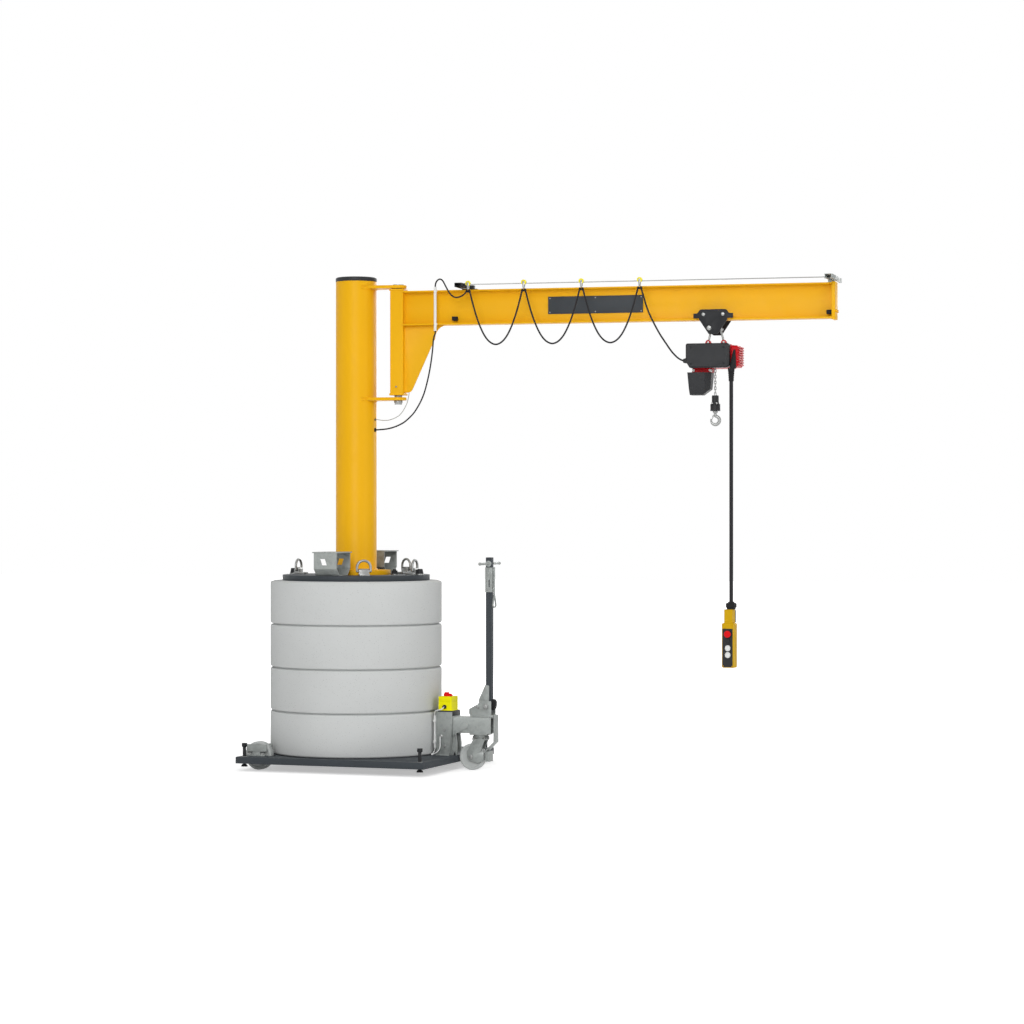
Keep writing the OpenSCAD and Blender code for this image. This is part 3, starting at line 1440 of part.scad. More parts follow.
// The pendant's box and lid, its neck with the dark inserts, the collar, and the boot on the hoist
module pendant_box() {
    insert_w = 40;
    on_pendant() {
        color("#e8b70c") translate([pendant_box_x, 0, 0]) {
            difference() {
                translate([0, 0, pendant_z]) soft_block(pendant_w, pendant_d, pendant_h, 4);
                translate([0, 0, pendant_z + pendant_seam]) difference() {
                    rounded_plate(pendant_w + 2, pendant_d + 2, 1.4, 5);
                    translate([0, 0, -1]) rounded_plate(pendant_w - 2, pendant_d - 2, 4, 3);
                }
                for (x = [-1, 1], z = [9, pendant_h - 10])
                    translate([x * (pendant_w / 2 - 8), -pendant_d / 2, pendant_z + z]) bar_y(7, 7);
            }
            translate([0, 2, pendant_z + pendant_h - 1]) difference() {
                rounded_plate(pendant_neck_w, pendant_neck_d, pendant_neck_h + 1, 5);
                translate([-insert_w / 2, -pendant_neck_d / 2 - 1, 7])
                    cube([insert_w, 3, pendant_neck_h - 12]);
            }
        }
        color(black) {
            translate([pendant_box_x - insert_w / 2 + fine, 2.2 - pendant_neck_d / 2,
                pendant_z + pendant_h + 6 + fine])
                cube([insert_w - 2 * fine, 1.8, pendant_neck_h - 12 - 2 * fine]);
            translate([pendant_box_x - 14, 2 + pendant_neck_d / 2, pendant_z + pendant_h + 2])
                cube([35, 14, pendant_neck_h - 6]);
            translate([0, 0, pendant_top - pendant_collar_h]) difference() {
                union() {
                    rounded_plate(38, 34, 9, 4);
                    translate([0, 0, 8]) soft_block(47, 38, pendant_collar_h - 14, 4);
                    translate([0, 0, pendant_collar_h - 8]) cylinder(d1 = 36, d2 = 30, h = 8);
                }
                translate([0, 0, pendant_collar_h - 20]) cylinder(d = pendant_cable_d + 1, h = 21);
            }
        }
    }
    color(black) on_trolley() translate([pendant_x, pendant_q, 0]) {
        difference() {
            translate([0, 0, boot_low]) cylinder(d1 = 26, d2 = 36, h = hoist_z - 4 - boot_low);
            translate([0, 0, boot_low - 1]) cylinder(d = pendant_cable_d + 1, h = 9);
            for (z = [boot_low + 12 : 11 : hoist_z - 20]) translate([0, 0, z]) difference() {
                cylinder(d = 40, h = 3);
                translate([0, 0, -1]) cylinder(d = 23 + (z - boot_low) * 0.11, h = 5);
            }
        }
        hull() {
            translate([9, 2, hoist_z - 5]) cylinder(d = 34, h = 4, $fn = 32);
            translate([-2, 0, hoist_z + 30]) cube([20, hoist_split_q - pendant_q, 10]);
            translate([13, 18, hoist_z + 88]) cylinder(d = 9, h = 4, $fn = 32);
        }
    }
}

// The push buttons on the pendant's front: stop, lamp key, up and down
module pendant_buttons() {
    face = -pendant_d / 2;
    on_pendant() translate([pendant_box_x, 0, 0]) {
        color(red) translate([button_x, face, stop_button_z]) rotate([90, 0, 0]) {
            cylinder(d = 20, h = 8);
            translate([0, 0, 8]) cylinder(d = stop_button_d, h = 6);
            translate([0, 0, 14 - tiny]) cylinder(d1 = stop_button_d, d2 = stop_button_d - 12, h = 5);
        }
        for (b = [[1, small_button_d], [2.06, run_button_d], [3.06, run_button_d]])
            translate([button_x, face, stop_button_z - b[0] * button_pitch]) rotate([90, 0, 0]) {
                color(black) difference() {
                    cylinder(d1 = b[1], d2 = b[1] - 2, h = 6);
                    translate([0, 0, 3]) cylinder(d = b[1] - 9, h = 4);
                }
                color(b[0] > 2 ? white : black) translate([0, 0, 3 - tiny]) cylinder(d = b[1] - 10, h = 4.5);
            }
    }
}

base_plate();
axle_brackets();
ballast_ring_1();
ballast_ring_2();
ballast_ring_3();
ballast_ring_4();
clamp_plate();
clamp_nuts();
fork_pockets();
lifting_eye_bases();
lifting_ring_1();
lifting_ring_2();
lifting_ring_3();
lifting_ring_4();
column();
column_brackets();
column_cap();
steering_post();
switch_box();
switch_knob();
switch_conduit();
jack_screw_1();
jack_screw_2();
jack_screw_3();
jack_screw_4();
rear_wheel_left();
rear_wheel_right();
castor_fork();
castor_wheel();
drawbar_yoke();
drawbar();
drawbar_handle();
jib_post();
jib_beam();
beam_end_plates();
pivot_pins();
beam_panel();
beam_stops();
cable_line();
jib_conduit();
cable_car_1();
cable_car_2();
cable_car_3();
cable_car_4();
loop_cables();
supply_cables();
trolley_frame();
trolley_wheels();
hoist_housing();
hoist_cover();
chain_container();
load_chain();
hook_block();
hook();
hook_latch();
pendant_cable();
pendant_box();
pendant_buttons();
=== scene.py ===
"""Looks of a mobile slewing jib crane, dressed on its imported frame.

Metres, +Z up, origin on the floor under the column, +X towards the castor and drawbar.
The jib's own frame has r along the beam from its pivot, q behind it, and z up.
"""

from __future__ import annotations

import json
import logging
import math
from dataclasses import dataclass
from enum import Enum
from typing import Callable, Sequence

import bpy
from mathutils import Matrix, Vector

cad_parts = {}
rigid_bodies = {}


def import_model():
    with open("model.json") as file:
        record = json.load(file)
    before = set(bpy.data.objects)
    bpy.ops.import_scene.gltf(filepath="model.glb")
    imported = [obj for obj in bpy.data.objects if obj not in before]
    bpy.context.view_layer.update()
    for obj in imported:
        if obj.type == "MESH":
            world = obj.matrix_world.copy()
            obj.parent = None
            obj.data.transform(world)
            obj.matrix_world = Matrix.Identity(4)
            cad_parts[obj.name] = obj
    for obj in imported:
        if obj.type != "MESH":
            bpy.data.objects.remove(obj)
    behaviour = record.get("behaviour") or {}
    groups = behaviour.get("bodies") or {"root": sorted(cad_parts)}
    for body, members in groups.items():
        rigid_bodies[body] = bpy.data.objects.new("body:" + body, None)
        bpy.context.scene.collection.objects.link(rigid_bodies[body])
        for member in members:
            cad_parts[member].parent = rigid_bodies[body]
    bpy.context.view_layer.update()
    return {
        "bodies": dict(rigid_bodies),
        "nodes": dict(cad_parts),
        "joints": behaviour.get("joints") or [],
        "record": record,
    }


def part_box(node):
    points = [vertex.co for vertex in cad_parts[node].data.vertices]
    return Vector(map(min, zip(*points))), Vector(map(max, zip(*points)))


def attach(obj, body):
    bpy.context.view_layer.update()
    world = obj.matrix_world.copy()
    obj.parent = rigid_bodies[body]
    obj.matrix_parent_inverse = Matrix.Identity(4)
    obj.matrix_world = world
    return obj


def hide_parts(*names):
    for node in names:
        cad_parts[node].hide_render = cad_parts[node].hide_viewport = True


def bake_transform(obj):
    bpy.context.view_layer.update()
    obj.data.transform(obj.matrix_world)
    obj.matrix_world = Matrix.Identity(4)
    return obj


Point = tuple[float, float, float]
Flat = tuple[float, float]
Colour = tuple[float, float, float, float]
Place = tuple[Point, Point]
log = logging.getLogger("crane")

# the cable line, the cars' rest places and the pendant's hang, in the jib's own frame
LINE_Q = -0.130
CAR_R = (0.424, 0.727, 1.037, 1.348)
PENDANT_HANG: Flat = (0.099, -0.082)


# ------------------------------------------------------------------ finishes


@dataclass(frozen=True)
class Finish:
    """A plain finish with slightly uneven colour, gloss and surface."""

    name: str
    colour: Point
    roughness: float = 0.5
    metallic: float = 0.0
    coat: float = 0.0
    drift: float = 0.06
    drift_scale: float = 3.0
    grain: float = 0.1
    grain_scale: float = 900.0
    gloss_drift: float = 0.06
    specular: float = 0.25
    coat_roughness: float = 0.12
    depth: float = 0.0004

    def material(self) -> bpy.types.Material:
        """Returns the material of this finish, made on first use."""
        own_name = f"{self.name}_finish"
        found = bpy.data.materials.get(own_name)
        if found:
            return found
        material = bpy.data.materials.new(own_name)
        material.use_nodes = True
        shader = material.node_tree.nodes["Principled BSDF"]
        shader.inputs["Metallic"].default_value = self.metallic
        shader.inputs["Coat Weight"].default_value = self.coat
        shader.inputs["Coat Roughness"].default_value = self.coat_roughness
        shader.inputs["Specular IOR Level"].default_value = self.specular
        self.paint(Nodes(material.node_tree, shader))
        material.diffuse_color = (*self.colour, 1.0)
        return material

    def paint(self, nodes: "Nodes") -> None:
        """Wires the colour, gloss and relief of the finish.

        Args:
            nodes: The material's node tree with its shader.
        """
        drift = nodes.noise(self.drift_scale, detail=3.0)
        nodes.colour_between(drift, self.shade(1 - self.drift), self.shade(1 + self.drift))
        gloss = nodes.noise(self.drift_scale * 9, detail=4.0)
        nodes.rough_between(gloss, self.roughness, self.gloss_drift)
        nodes.relief(nodes.noise(self.grain_scale, detail=2.0), self.grain, self.depth)

    def shade(self, factor: float) -> Colour:
        """Returns the finish's colour made lighter or darker by a factor."""
        return (*(min(1.0, c * factor) for c in self.colour), 1.0)


@dataclass(frozen=True)
class PowderCoat(Finish):
    """Thick paint with the low ripple of a sprayed and baked coat."""

    ripple: float = 0.12
    ripple_scale: float = 160.0
    depth: float = 0.0006

    def paint(self, nodes: "Nodes") -> None:
        """Wires the coat: even colour, fine ripple and faint dust on its gloss.

        Args:
            nodes: The material's node tree with its shader.
        """
        drift = nodes.noise(self.drift_scale, detail=2.0)
        nodes.colour_between(drift, self.shade(1 - self.drift), self.shade(1 + self.drift))
        nodes.rough_between(nodes.noise(22.0, detail=5.0), self.roughness, self.gloss_drift)
        nodes.relief(nodes.noise(self.ripple_scale, detail=2.0), self.ripple, self.depth)


@dataclass(frozen=True)
class Galvanised(Finish):
    """Zinc with its crystals, dull and mottled."""

    crystal_scale: float = 70.0
    contrast: float = 0.10
    depth: float = 0.0003

    def paint(self, nodes: "Nodes") -> None:
        """Wires the crystals into colour and gloss, with a cloudy bloom over them.

        Args:
            nodes: The material's node tree with its shader.
        """
        cells = nodes.cells(self.crystal_scale)
        cloud = nodes.noise(7.0, detail=5.0)
        mixed = nodes.blend(cells, cloud, share=0.55)
        nodes.colour_between(mixed, self.shade(1 - self.contrast), self.shade(1 + self.contrast))
        nodes.rough_between(mixed, self.roughness, spread=0.16)
        nodes.relief(nodes.noise(240.0, detail=4.0), self.grain, self.depth)


@dataclass(frozen=True)
class Concrete(Finish):
    """Fair-faced concrete: cloudy, finely sanded, with small air holes."""

    pore_scale: float = 95.0
    depth: float = 0.0012

    def paint(self, nodes: "Nodes") -> None:
        """Wires cloud and sand into colour with painted shade in the pores, and sand and pores into
        relief.

        Args:
            nodes: The material's node tree with its shader.
        """
        cloud = nodes.noise(2.2, detail=6.0)
        sand = nodes.noise(210.0, detail=3.0)
        mixed = nodes.blend(cloud, sand, share=0.35)
        pores = nodes.pores(self.pore_scale, size=0.13)
        low, high = self.shade(1 - self.drift), self.shade(1 + self.drift)
        # the pores darken the colour by 0.62: painted shade in the small air holes
        nodes.colour_between(mixed, low, high, pores, depth=0.62)
        nodes.rough_between(sand, self.roughness, spread=0.08)
        nodes.relief(nodes.blend(sand, pores, share=0.6), self.grain, self.depth)


@dataclass(frozen=True)
class Brushed(Finish):
    """Metal with fine lines along one axis."""

    stretch: Point = (1.0, 1.0, 14.0)
    depth: float = 0.0002

    def paint(self, nodes: "Nodes") -> None:
        """Wires the lines into gloss and relief.

        Args:
            nodes: The material's node tree with its shader.
        """
        lines = nodes.noise(260.0, detail=3.0, stretch=self.stretch)
        nodes.colour_between(nodes.noise(12.0, detail=4.0), self.shade(0.9), self.shade(1.06))
        nodes.rough_between(lines, self.roughness, spread=0.12)
        nodes.relief(lines, self.grain, self.depth)


@dataclass(frozen=True)
class Threaded(Finish):
    """Metal with the fine rings of an upright screw thread."""

    pitch: float = 0.0025
    depth: float = 0.0008

    def paint(self, nodes: "Nodes") -> None:
        """Wires rings along Z into relief, and into colour as painted shade in the grooves and
        painted highlight on the crests.

        Args:
            nodes: The material's node tree with its shader.
        """
        rings = nodes.bands(self.pitch)
        # the rings darken and lighten the colour: painted shade in the grooves, painted highlight
        # on the crests
        nodes.colour_between(rings, self.shade(0.55), self.shade(1.3))
        nodes.rough_between(nodes.noise(60.0, detail=3.0), self.roughness, self.gloss_drift)
        nodes.relief(rings, 0.8, self.depth)


@dataclass
class Nodes:
    """A material's node tree with short names for the nodes that the finishes use."""

    tree: bpy.types.NodeTree
    shader: bpy.types.Node

    def add(self, kind: str, **inputs: object) -> bpy.types.Node:
        """Adds a node and sets or links its inputs.

        Args:
            kind: The node's type.
            inputs: Input names, with spaces as underscores, and their value or source socket.

        Returns:
            The new node.
        """
        node = self.tree.nodes.new(kind)
        for name, value in inputs.items():
            socket = node.inputs[name.replace("_", " ")]
            if isinstance(value, bpy.types.NodeSocket):
                self.tree.links.new(value, socket)
            else:
                socket.default_value = value
        return node

    def place(self, stretch: Point = (1.0, 1.0, 1.0)) -> bpy.types.NodeSocket:
        """Returns Object coordinates, scaled along each axis.

        Args:
            stretch: The scale along x, y and z.

        Returns:
            The coordinates.
        """
        where = self.add("ShaderNodeTexCoord")
        mapping = self.add("ShaderNodeMapping", Vector=where.outputs["Object"], Scale=stretch)
        return mapping.outputs["Vector"]

    def noise(
        self, scale: float, detail: float, stretch: Point = (1.0, 1.0, 1.0)
    ) -> bpy.types.NodeSocket:
        """Returns noise of a scale, from 0 to 1."""
        where = self.place(stretch)
        node = self.add("ShaderNodeTexNoise", Vector=where, Scale=scale, Detail=detail)
        return node.outputs["Fac"]

    def cells(self, scale: float) -> bpy.types.NodeSocket:
        """Returns one grey value for each crystal cell.

        Args:
            scale: How many cells lie along a metre.

        Returns:
            The value, from 0 to 1.
        """
        node = self.add("ShaderNodeTexVoronoi", Vector=self.place(), Scale=scale)
        split = self.add("ShaderNodeSeparateColor", Color=node.outputs["Color"])
        return split.outputs["Red"]

    def pores(self, scale: float, size: float) -> bpy.types.NodeSocket:
        """Returns 1 on the surface and less in sparse round holes.

        Args:
            scale: How many cells lie along a metre.
            size: A hole's size as a share of its cell.

        Returns:
            The value, from 0 to 1.
        """
        node = self.add("ShaderNodeTexVoronoi", Vector=self.place(), Scale=scale)
        ramp = self.add("ShaderNodeMapRange", Value=node.outputs["Distance"])
        ramp.inputs["From Min"].default_value = size * 0.5
        ramp.inputs["From Max"].default_value = size
        return ramp.outputs["Result"]

    def bands(self, pitch: float) -> bpy.types.NodeSocket:
        """Returns waves that repeat along Z at a pitch.

        Args:
            pitch: The distance from wave to wave.

        Returns:
            The value, from 0 to 1.
        """
        node = self.add("ShaderNodeTexWave", Vector=self.place(), Scale=math.pi / 10 / pitch)
        node.bands_direction = "Z"
        return node.outputs["Fac"]

    def blend(
        self, a: bpy.types.NodeSocket, b: bpy.types.NodeSocket, share: float
    ) -> bpy.types.NodeSocket:
        """Returns a mixed with a share of b.

        Args:
            a: The first value.
            b: The second value.
            share: The share of the second.

        Returns:
            The mix.
        """
        node = self.add("ShaderNodeMix", Factor=share)
        self.tree.links.new(a, node.inputs[2])
        self.tree.links.new(b, node.inputs[3])
        return node.outputs[0]

    def colour_between(
        self,
        factor: bpy.types.NodeSocket,
        low: Colour,
        high: Colour,
        holes: bpy.types.NodeSocket | None = None,
        depth: float = 0.0,
    ) -> None:
        """Drives the base colour from low to high, with painted shade in holes.

        Args:
            factor: What drives the colour.
            low: Colour where the factor is low.
            high: Colour where the factor is high.
            holes: 1 on the surface, less in a hole.
            depth: How dark the painted shade in a hole is.
        """
        ramp = self.add("ShaderNodeValToRGB", Fac=factor)
        ramp.color_ramp.elements[0].position = 0.3
        ramp.color_ramp.elements[1].position = 0.7
        ramp.color_ramp.elements[0].color = low
        ramp.color_ramp.elements[1].color = high
        colour = ramp.outputs["Color"]
        if holes is not None:
            # painted shade: the colour is multiplied down inside the holes
            shade = self.add("ShaderNodeMapRange", Value=holes)
            shade.inputs["To Min"].default_value = 1 - depth
            mix = self.add("ShaderNodeMix")
            mix.data_type = "RGBA"
            mix.blend_type = "MULTIPLY"
            mix.inputs[0].default_value = 1.0
            self.tree.links.new(colour, mix.inputs[6])
            self.tree.links.new(shade.outputs["Result"], mix.inputs[7])
            colour = mix.outputs[2]
        self.tree.links.new(colour, self.shader.inputs["Base Color"])

    def rough_between(self, factor: bpy.types.NodeSocket, middle: float, spread: float) -> None:
        """Drives the roughness about a middle value.

        Args:
            factor: What drives it.
            middle: The middle roughness.
            spread: How far it goes to either side.
        """
        ramp = self.add("ShaderNodeMapRange", Value=factor)
        ramp.inputs["From Min"].default_value = 0.3
        ramp.inputs["From Max"].default_value = 0.7
        ramp.inputs["To Min"].default_value = max(0.02, middle - spread)
        ramp.inputs["To Max"].default_value = min(1.0, middle + spread)
        self.tree.links.new(ramp.outputs["Result"], self.shader.inputs["Roughness"])

    def relief(self, height: bpy.types.NodeSocket, strength: float, distance: float) -> None:
        """Drives the surface's bump from a height."""
        bump = self.add("ShaderNodeBump", Strength=strength, Distance=distance, Height=height)
        self.tree.links.new(bump.outputs["Normal"], self.shader.inputs["Normal"])


class Paint(Enum):
    """The crane's finishes."""

    YELLOW = PowderCoat(
        "yellow_paint", (0.82, 0.427, 0.004), 0.42, drift=0.025, drift_scale=1.6, specular=0.14
    )
    ANTHRACITE = PowderCoat(
        "anthracite", (0.041, 0.048, 0.055), 0.55, ripple=0.3, ripple_scale=420.0, specular=0.2
    )
    CONCRETE = Concrete("concrete", (0.59, 0.605, 0.60), 0.92, drift=0.05, grain=0.5, specular=0.05)
    ZINC = Galvanised("galvanised", (0.305, 0.325, 0.315), 0.5, metallic=0.3, grain=0.15)
    BRIGHT = Brushed("bright_steel", (0.27, 0.275, 0.27), 0.38, metallic=0.8, grain=0.06)
    BLACK_METAL = PowderCoat("black_metal", (0.018, 0.019, 0.021), 0.5, specular=0.15)
    THREAD = Threaded("black_metal_thread", (0.020, 0.021, 0.023), 0.45, specular=0.25)
    BLACK_PLASTIC = Finish(
        "black_plastic", (0.022, 0.023, 0.025), 0.5, grain=0.35, grain_scale=1100.0, specular=0.2
    )
    BLACK_RUBBER = Finish(
        "black_rubber", (0.015, 0.015, 0.016), 0.7, grain=0.3, grain_scale=600.0, specular=0.15
    )
    NYLON = Finish("nylon", (0.50, 0.52, 0.51), 0.45, drift=0.04, grain=0.1)
    WHITE_PLASTIC = Finish("white_plastic", (0.78, 0.79, 0.78), 0.4, drift=0.03)
    RED_PLASTIC = Finish("red_plastic", (0.72, 0.004, 0.008), 0.4, drift=0.04, specular=0.15)
    RED_PAINT = PowderCoat("red_paint", (0.52, 0.006, 0.012), 0.42, drift=0.04, specular=0.12)
    SIGNAL_YELLOW = Finish(
        "signal_yellow", (0.90, 0.84, 0.004), 0.45, drift=0.02, grain=0.15, specular=0.06
    )
    PENDANT_YELLOW = Finish(
        "pendant_yellow", (0.62, 0.37, 0.004), 0.45, drift=0.03, grain=0.2, specular=0.12
    )
    ROLLER_YELLOW = Finish("roller_yellow", (0.88, 0.76, 0.01), 0.4, drift=0.03, specular=0.12)
    SHEATH = Finish(
        "cable", (0.018, 0.018, 0.02), 0.55, grain=0.2, grain_scale=500.0, specular=0.15
    )
    EARTH = Finish("earth_wire_sheath", (0.36, 0.36, 0.33), 0.5, grain=0.1)


# ------------------------------------------------------------------ modelling


def activate(piece: bpy.types.Object) -> None:
    """Selects one object alone and makes it the active one.

    Args:
        piece: The object.
    """
    bpy.ops.object.select_all(action="DESELECT")
    piece.hide_set(False)
    piece.select_set(True)
    bpy.context.view_layer.objects.active = piece


@dataclass
class Bench:
    """The workbench: starts, shapes and finishes pieces with Blender's modelling operators."""

    frame: dict
    merge: float = 0.00002
    sliver: float = 0.00001
    flat_degrees: float = 0.4

    def named(self, name: str) -> bpy.types.Object:
        """Names the object that an operator has just added, and returns it.

        Args:
            name: The object's and its mesh's name.

        Returns:
            The object.
        """
        piece = bpy.context.object
        piece.name = name
        piece.data.name = name
        return piece

    def copy_node(self, node: str, name: str) -> bpy.types.Object:
        """Copies a frame node as a clean, merged mesh.

        Args:
            node: The frame node.
            name: The copy's name.

        Returns:
            The copy, which rides on nothing yet.
        """
        source = self.frame["nodes"][node]
        piece = bpy.data.objects.new(name, source.data.copy())
        bpy.context.scene.collection.objects.link(piece)
        piece.data.materials.clear()
        activate(piece)
        bpy.ops.object.mode_set(mode="EDIT")
        bpy.ops.mesh.select_all(action="SELECT")
        bpy.ops.mesh.customdata_custom_splitnormals_clear()
        bpy.ops.mesh.remove_doubles(threshold=self.merge)
        bpy.ops.mesh.dissolve_limited(angle_limit=math.radians(self.flat_degrees))
        bpy.ops.object.mode_set(mode="OBJECT")
        return piece

    def block(self, name: str, low: Sequence[float], high: Sequence[float]) -> bpy.types.Object:
        """Adds a block between two corners.

        Args:
            name: The piece's name.
            low: Its lowest corner.
            high: Its highest corner.

        Returns:
            The piece.
        """
        a, b = Vector(low), Vector(high)
        bpy.ops.object.select_all(action="DESELECT")
        bpy.ops.mesh.primitive_cube_add(size=1.0, location=(a + b) / 2)
        piece = self.named(name)
        piece.scale = b - a
        bpy.ops.object.transform_apply(location=True, rotation=True, scale=True)
        return piece

    def turned(self, name: str, profile: Sequence[Flat], steps: int) -> bpy.types.Object:
        """Spins a closed outline of radius and height into an upright turned piece.

        Args:
            name: The piece's name.
            profile: Radius and height of each corner, in order round the outline.
            steps: How many facets go round.

        Returns:
            The piece.
        """
        bpy.ops.object.select_all(action="DESELECT")
        bpy.ops.mesh.primitive_circle_add(vertices=len(profile), fill_type="NOTHING")
        piece = self.named(name)
        for vertex, (radius, height) in zip(piece.data.vertices, profile):
            vertex.co = (radius, 0.0, height)
        bpy.ops.object.mode_set(mode="EDIT")
        bpy.ops.mesh.select_all(action="SELECT")
        bpy.ops.mesh.spin(steps=steps, angle=2 * math.pi, center=(0, 0, 0), axis=(0, 0, 1))
        self.close()
        bpy.ops.object.mode_set(mode="OBJECT")
        return piece

    def close(self) -> None:
        """Merges doubles, clears slivers and points every face outwards, in edit mode."""
        bpy.ops.mesh.select_all(action="SELECT")
        bpy.ops.mesh.remove_doubles(threshold=self.merge)
        bpy.ops.mesh.dissolve_degenerate(threshold=self.sliver)
        bpy.ops.mesh.delete_loose(use_verts=True, use_edges=True, use_faces=False)
        bpy.ops.mesh.select_all(action="SELECT")
        bpy.ops.mesh.normals_make_consistent(inside=False)

    def tube(
        self,
        name: str,
        route: Sequence[Point],
        diameter: float,
        sides: int,
        ripple: float = 0.0,
    ) -> bpy.types.Object:
        """Sweeps a round tube with closed ends along a route.

        Args:
            name: The piece's name.
            route: The points that the tube's middle follows.
            diameter: The tube's diameter.
            sides: Resolution of its round section.
            ripple: How much every other ring is thicker, as on a weld bead.

        Returns:
            The tube as a mesh.
        """
        curve = bpy.data.curves.new(name, "CURVE")
        curve.dimensions = "3D"
        curve.bevel_depth = diameter / 2
        curve.bevel_resolution = sides
        curve.use_fill_caps = True
        line = curve.splines.new("POLY")
        line.points.add(len(route) - 1)
        for i, (knot, where) in enumerate(zip(line.points, route)):
            knot.co = (*where, 1.0)
            knot.radius = 1.0 + ripple * (i % 2)
        piece = bpy.data.objects.new(name, curve)
        bpy.context.scene.collection.objects.link(piece)
        activate(piece)
        bpy.ops.object.convert(target="MESH")
        return bpy.context.object

    def hexagon(
        self, name: str, flats: float, height: float, washer: float = 0.0
    ) -> bpy.types.Object:
        """Makes an upright hexagon head with a chamfered crown, on a washer if it has one.

        Args:
            name: The piece's name.
            flats: Width across the flats.
            height: Height of the head over the washer.
            washer: Thickness of the washer.

        Returns:
            The piece, standing at the origin.
        """
        bpy.ops.object.select_all(action="DESELECT")
        middle = (0, 0, washer + height / 2)
        bpy.ops.mesh.primitive_cylinder_add(
            vertices=6, radius=flats / math.sqrt(3), depth=height, location=middle
        )
        head = self.named(name)
        bpy.ops.object.transform_apply(location=True)
        bpy.ops.object.mode_set(mode="EDIT")
        bpy.ops.mesh.select_all(action="DESELECT")
        bpy.ops.object.mode_set(mode="OBJECT")
        for face in head.data.polygons:
            face.select = face.normal.z > 0.9
        bpy.ops.object.mode_set(mode="EDIT")
        bpy.ops.mesh.select_mode(type="FACE")
        bpy.ops.mesh.bevel(offset=flats * 0.07, offset_type="OFFSET", segments=1)
        bpy.ops.object.mode_set(mode="OBJECT")
        if not washer:
            return head
        rim = flats * 0.62
        chamfer = washer * 0.3
        profile = [(0, 0), (rim, 0), (rim, washer * 0.7), (rim - chamfer, washer), (0, washer)]
        ring = self.turned(f"{name}_washer", profile, steps=28)
        return self.joined(name, [head, ring])

    def strewn(
        self, name: str, piece: bpy.types.Object, places: Sequence[Matrix]
    ) -> bpy.types.Object:
        """Returns one object with the piece's copies at all the places."""
        return self.joined(name, self.copies(piece, places))

    def joined(self, name: str, pieces: Sequence[bpy.types.Object]) -> bpy.types.Object:
        """Joins pieces into one object.

        Args:
            name: The joined object's name.
            pieces: The pieces, which all go into the first.

        Returns:
            The joined object.
        """
        bpy.ops.object.select_all(action="DESELECT")
        for piece in pieces:
            piece.select_set(True)
        bpy.context.view_layer.objects.active = pieces[0]
        if len(pieces) > 1:
            bpy.ops.object.join()
        return self.named(name)

    def moved(self, piece: bpy.types.Object, matrix: Matrix) -> bpy.types.Object:
        """Moves a piece's mesh by a matrix and returns the piece.

        Args:
            piece: The piece.
            matrix: The move.

        Returns:
            The piece.
        """
        piece.data.transform(matrix)
        piece.data.update()
        return piece

    def copies(
        self, piece: bpy.types.Object, places: Sequence[Matrix]
    ) -> list[bpy.types.Object]:
        """Returns the piece's copies at the given places, each with its own mesh; the piece goes.

        Args:
            piece: The piece, which is removed.
            places: A matrix for each copy.

        Returns:
            The copies.
        """
        made = []
        for place in places:
            twin = bpy.data.objects.new(piece.name, piece.data.copy())
            bpy.context.scene.collection.objects.link(twin)
            made.append(self.moved(twin, place))
        bpy.data.objects.remove(piece)
        return made

    def bevelled(
        self, piece: bpy.types.Object, width: float, segments: int = 2, angle: float = 32.0
    ) -> bpy.types.Object:
        """Rounds a piece's edges that are sharper than an angle in degrees.

        Args:
            piece: The piece.
            width: Width of the rounding.
            segments: Facets across it.
            angle: The least angle of an edge that is rounded, in degrees.

        Returns:
            The piece.
        """
        activate(piece)
        modifier = piece.modifiers.new("edges", "BEVEL")
        modifier.width = width
        modifier.segments = segments
        modifier.limit_method = "ANGLE"
        modifier.angle_limit = math.radians(angle)
        modifier.harden_normals = False
        bpy.ops.object.modifier_apply(modifier=modifier.name)
        return piece

    def dressed(
        self,
        piece: bpy.types.Object,
        body: str | None,
        paint: Paint,
        replaces: Sequence[str] = (),
        slot: str | None = None,
        smooth: float = 32.0,
    ) -> bpy.types.Object:
        """Gives a piece its finish, its smooth faces and the body that it rides on.

        Args:
            piece: The piece, in its place.
            body: The body it rides on, or None to leave it riding on nothing.
            paint: Its finish.
            replaces: Frame nodes that it stands for.
            slot: The record's material slot; not used.
            smooth: Edges sharper than this many degrees stay sharp.

        Returns:
            The piece.
        """
        activate(piece)
        piece.data.materials.clear()
        piece.data.materials.append(paint.value.material())
        for face in piece.data.polygons:
            face.material_index = 0
        bpy.ops.object.shade_smooth_by_angle(angle=math.radians(smooth))
        if body:
            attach(piece, body)
        if replaces:
            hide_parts(*replaces)
        log.info("%s: %d faces on %s", piece.name, len(piece.data.polygons), body)
        return piece


def standing(
    place: Sequence[float], along: Sequence[float] = (0, 0, 1), roll: float = 0.0
) -> Matrix:
    """Stands a piece that was made along Z at a place, along a direction.

    Args:
        place: Where the piece's origin goes.
        along: Where its Z goes.
        roll: Degrees that it is turned about its own Z first.

    Returns:
        The matrix that does so.
    """
    turn = Vector((0, 0, 1)).rotation_difference(Vector(along)).to_matrix().to_4x4()
    return Matrix.Translation(Vector(place)) @ turn @ Matrix.Rotation(math.radians(roll), 4, "Z")


def ring_profile(bore: float, *outer: Flat) -> list[Flat]:
    """Returns a turned ring's outline from its bore and its outer corners, foot first."""
    return [(bore, outer[0][1]), *outer, (bore, outer[-1][1])]


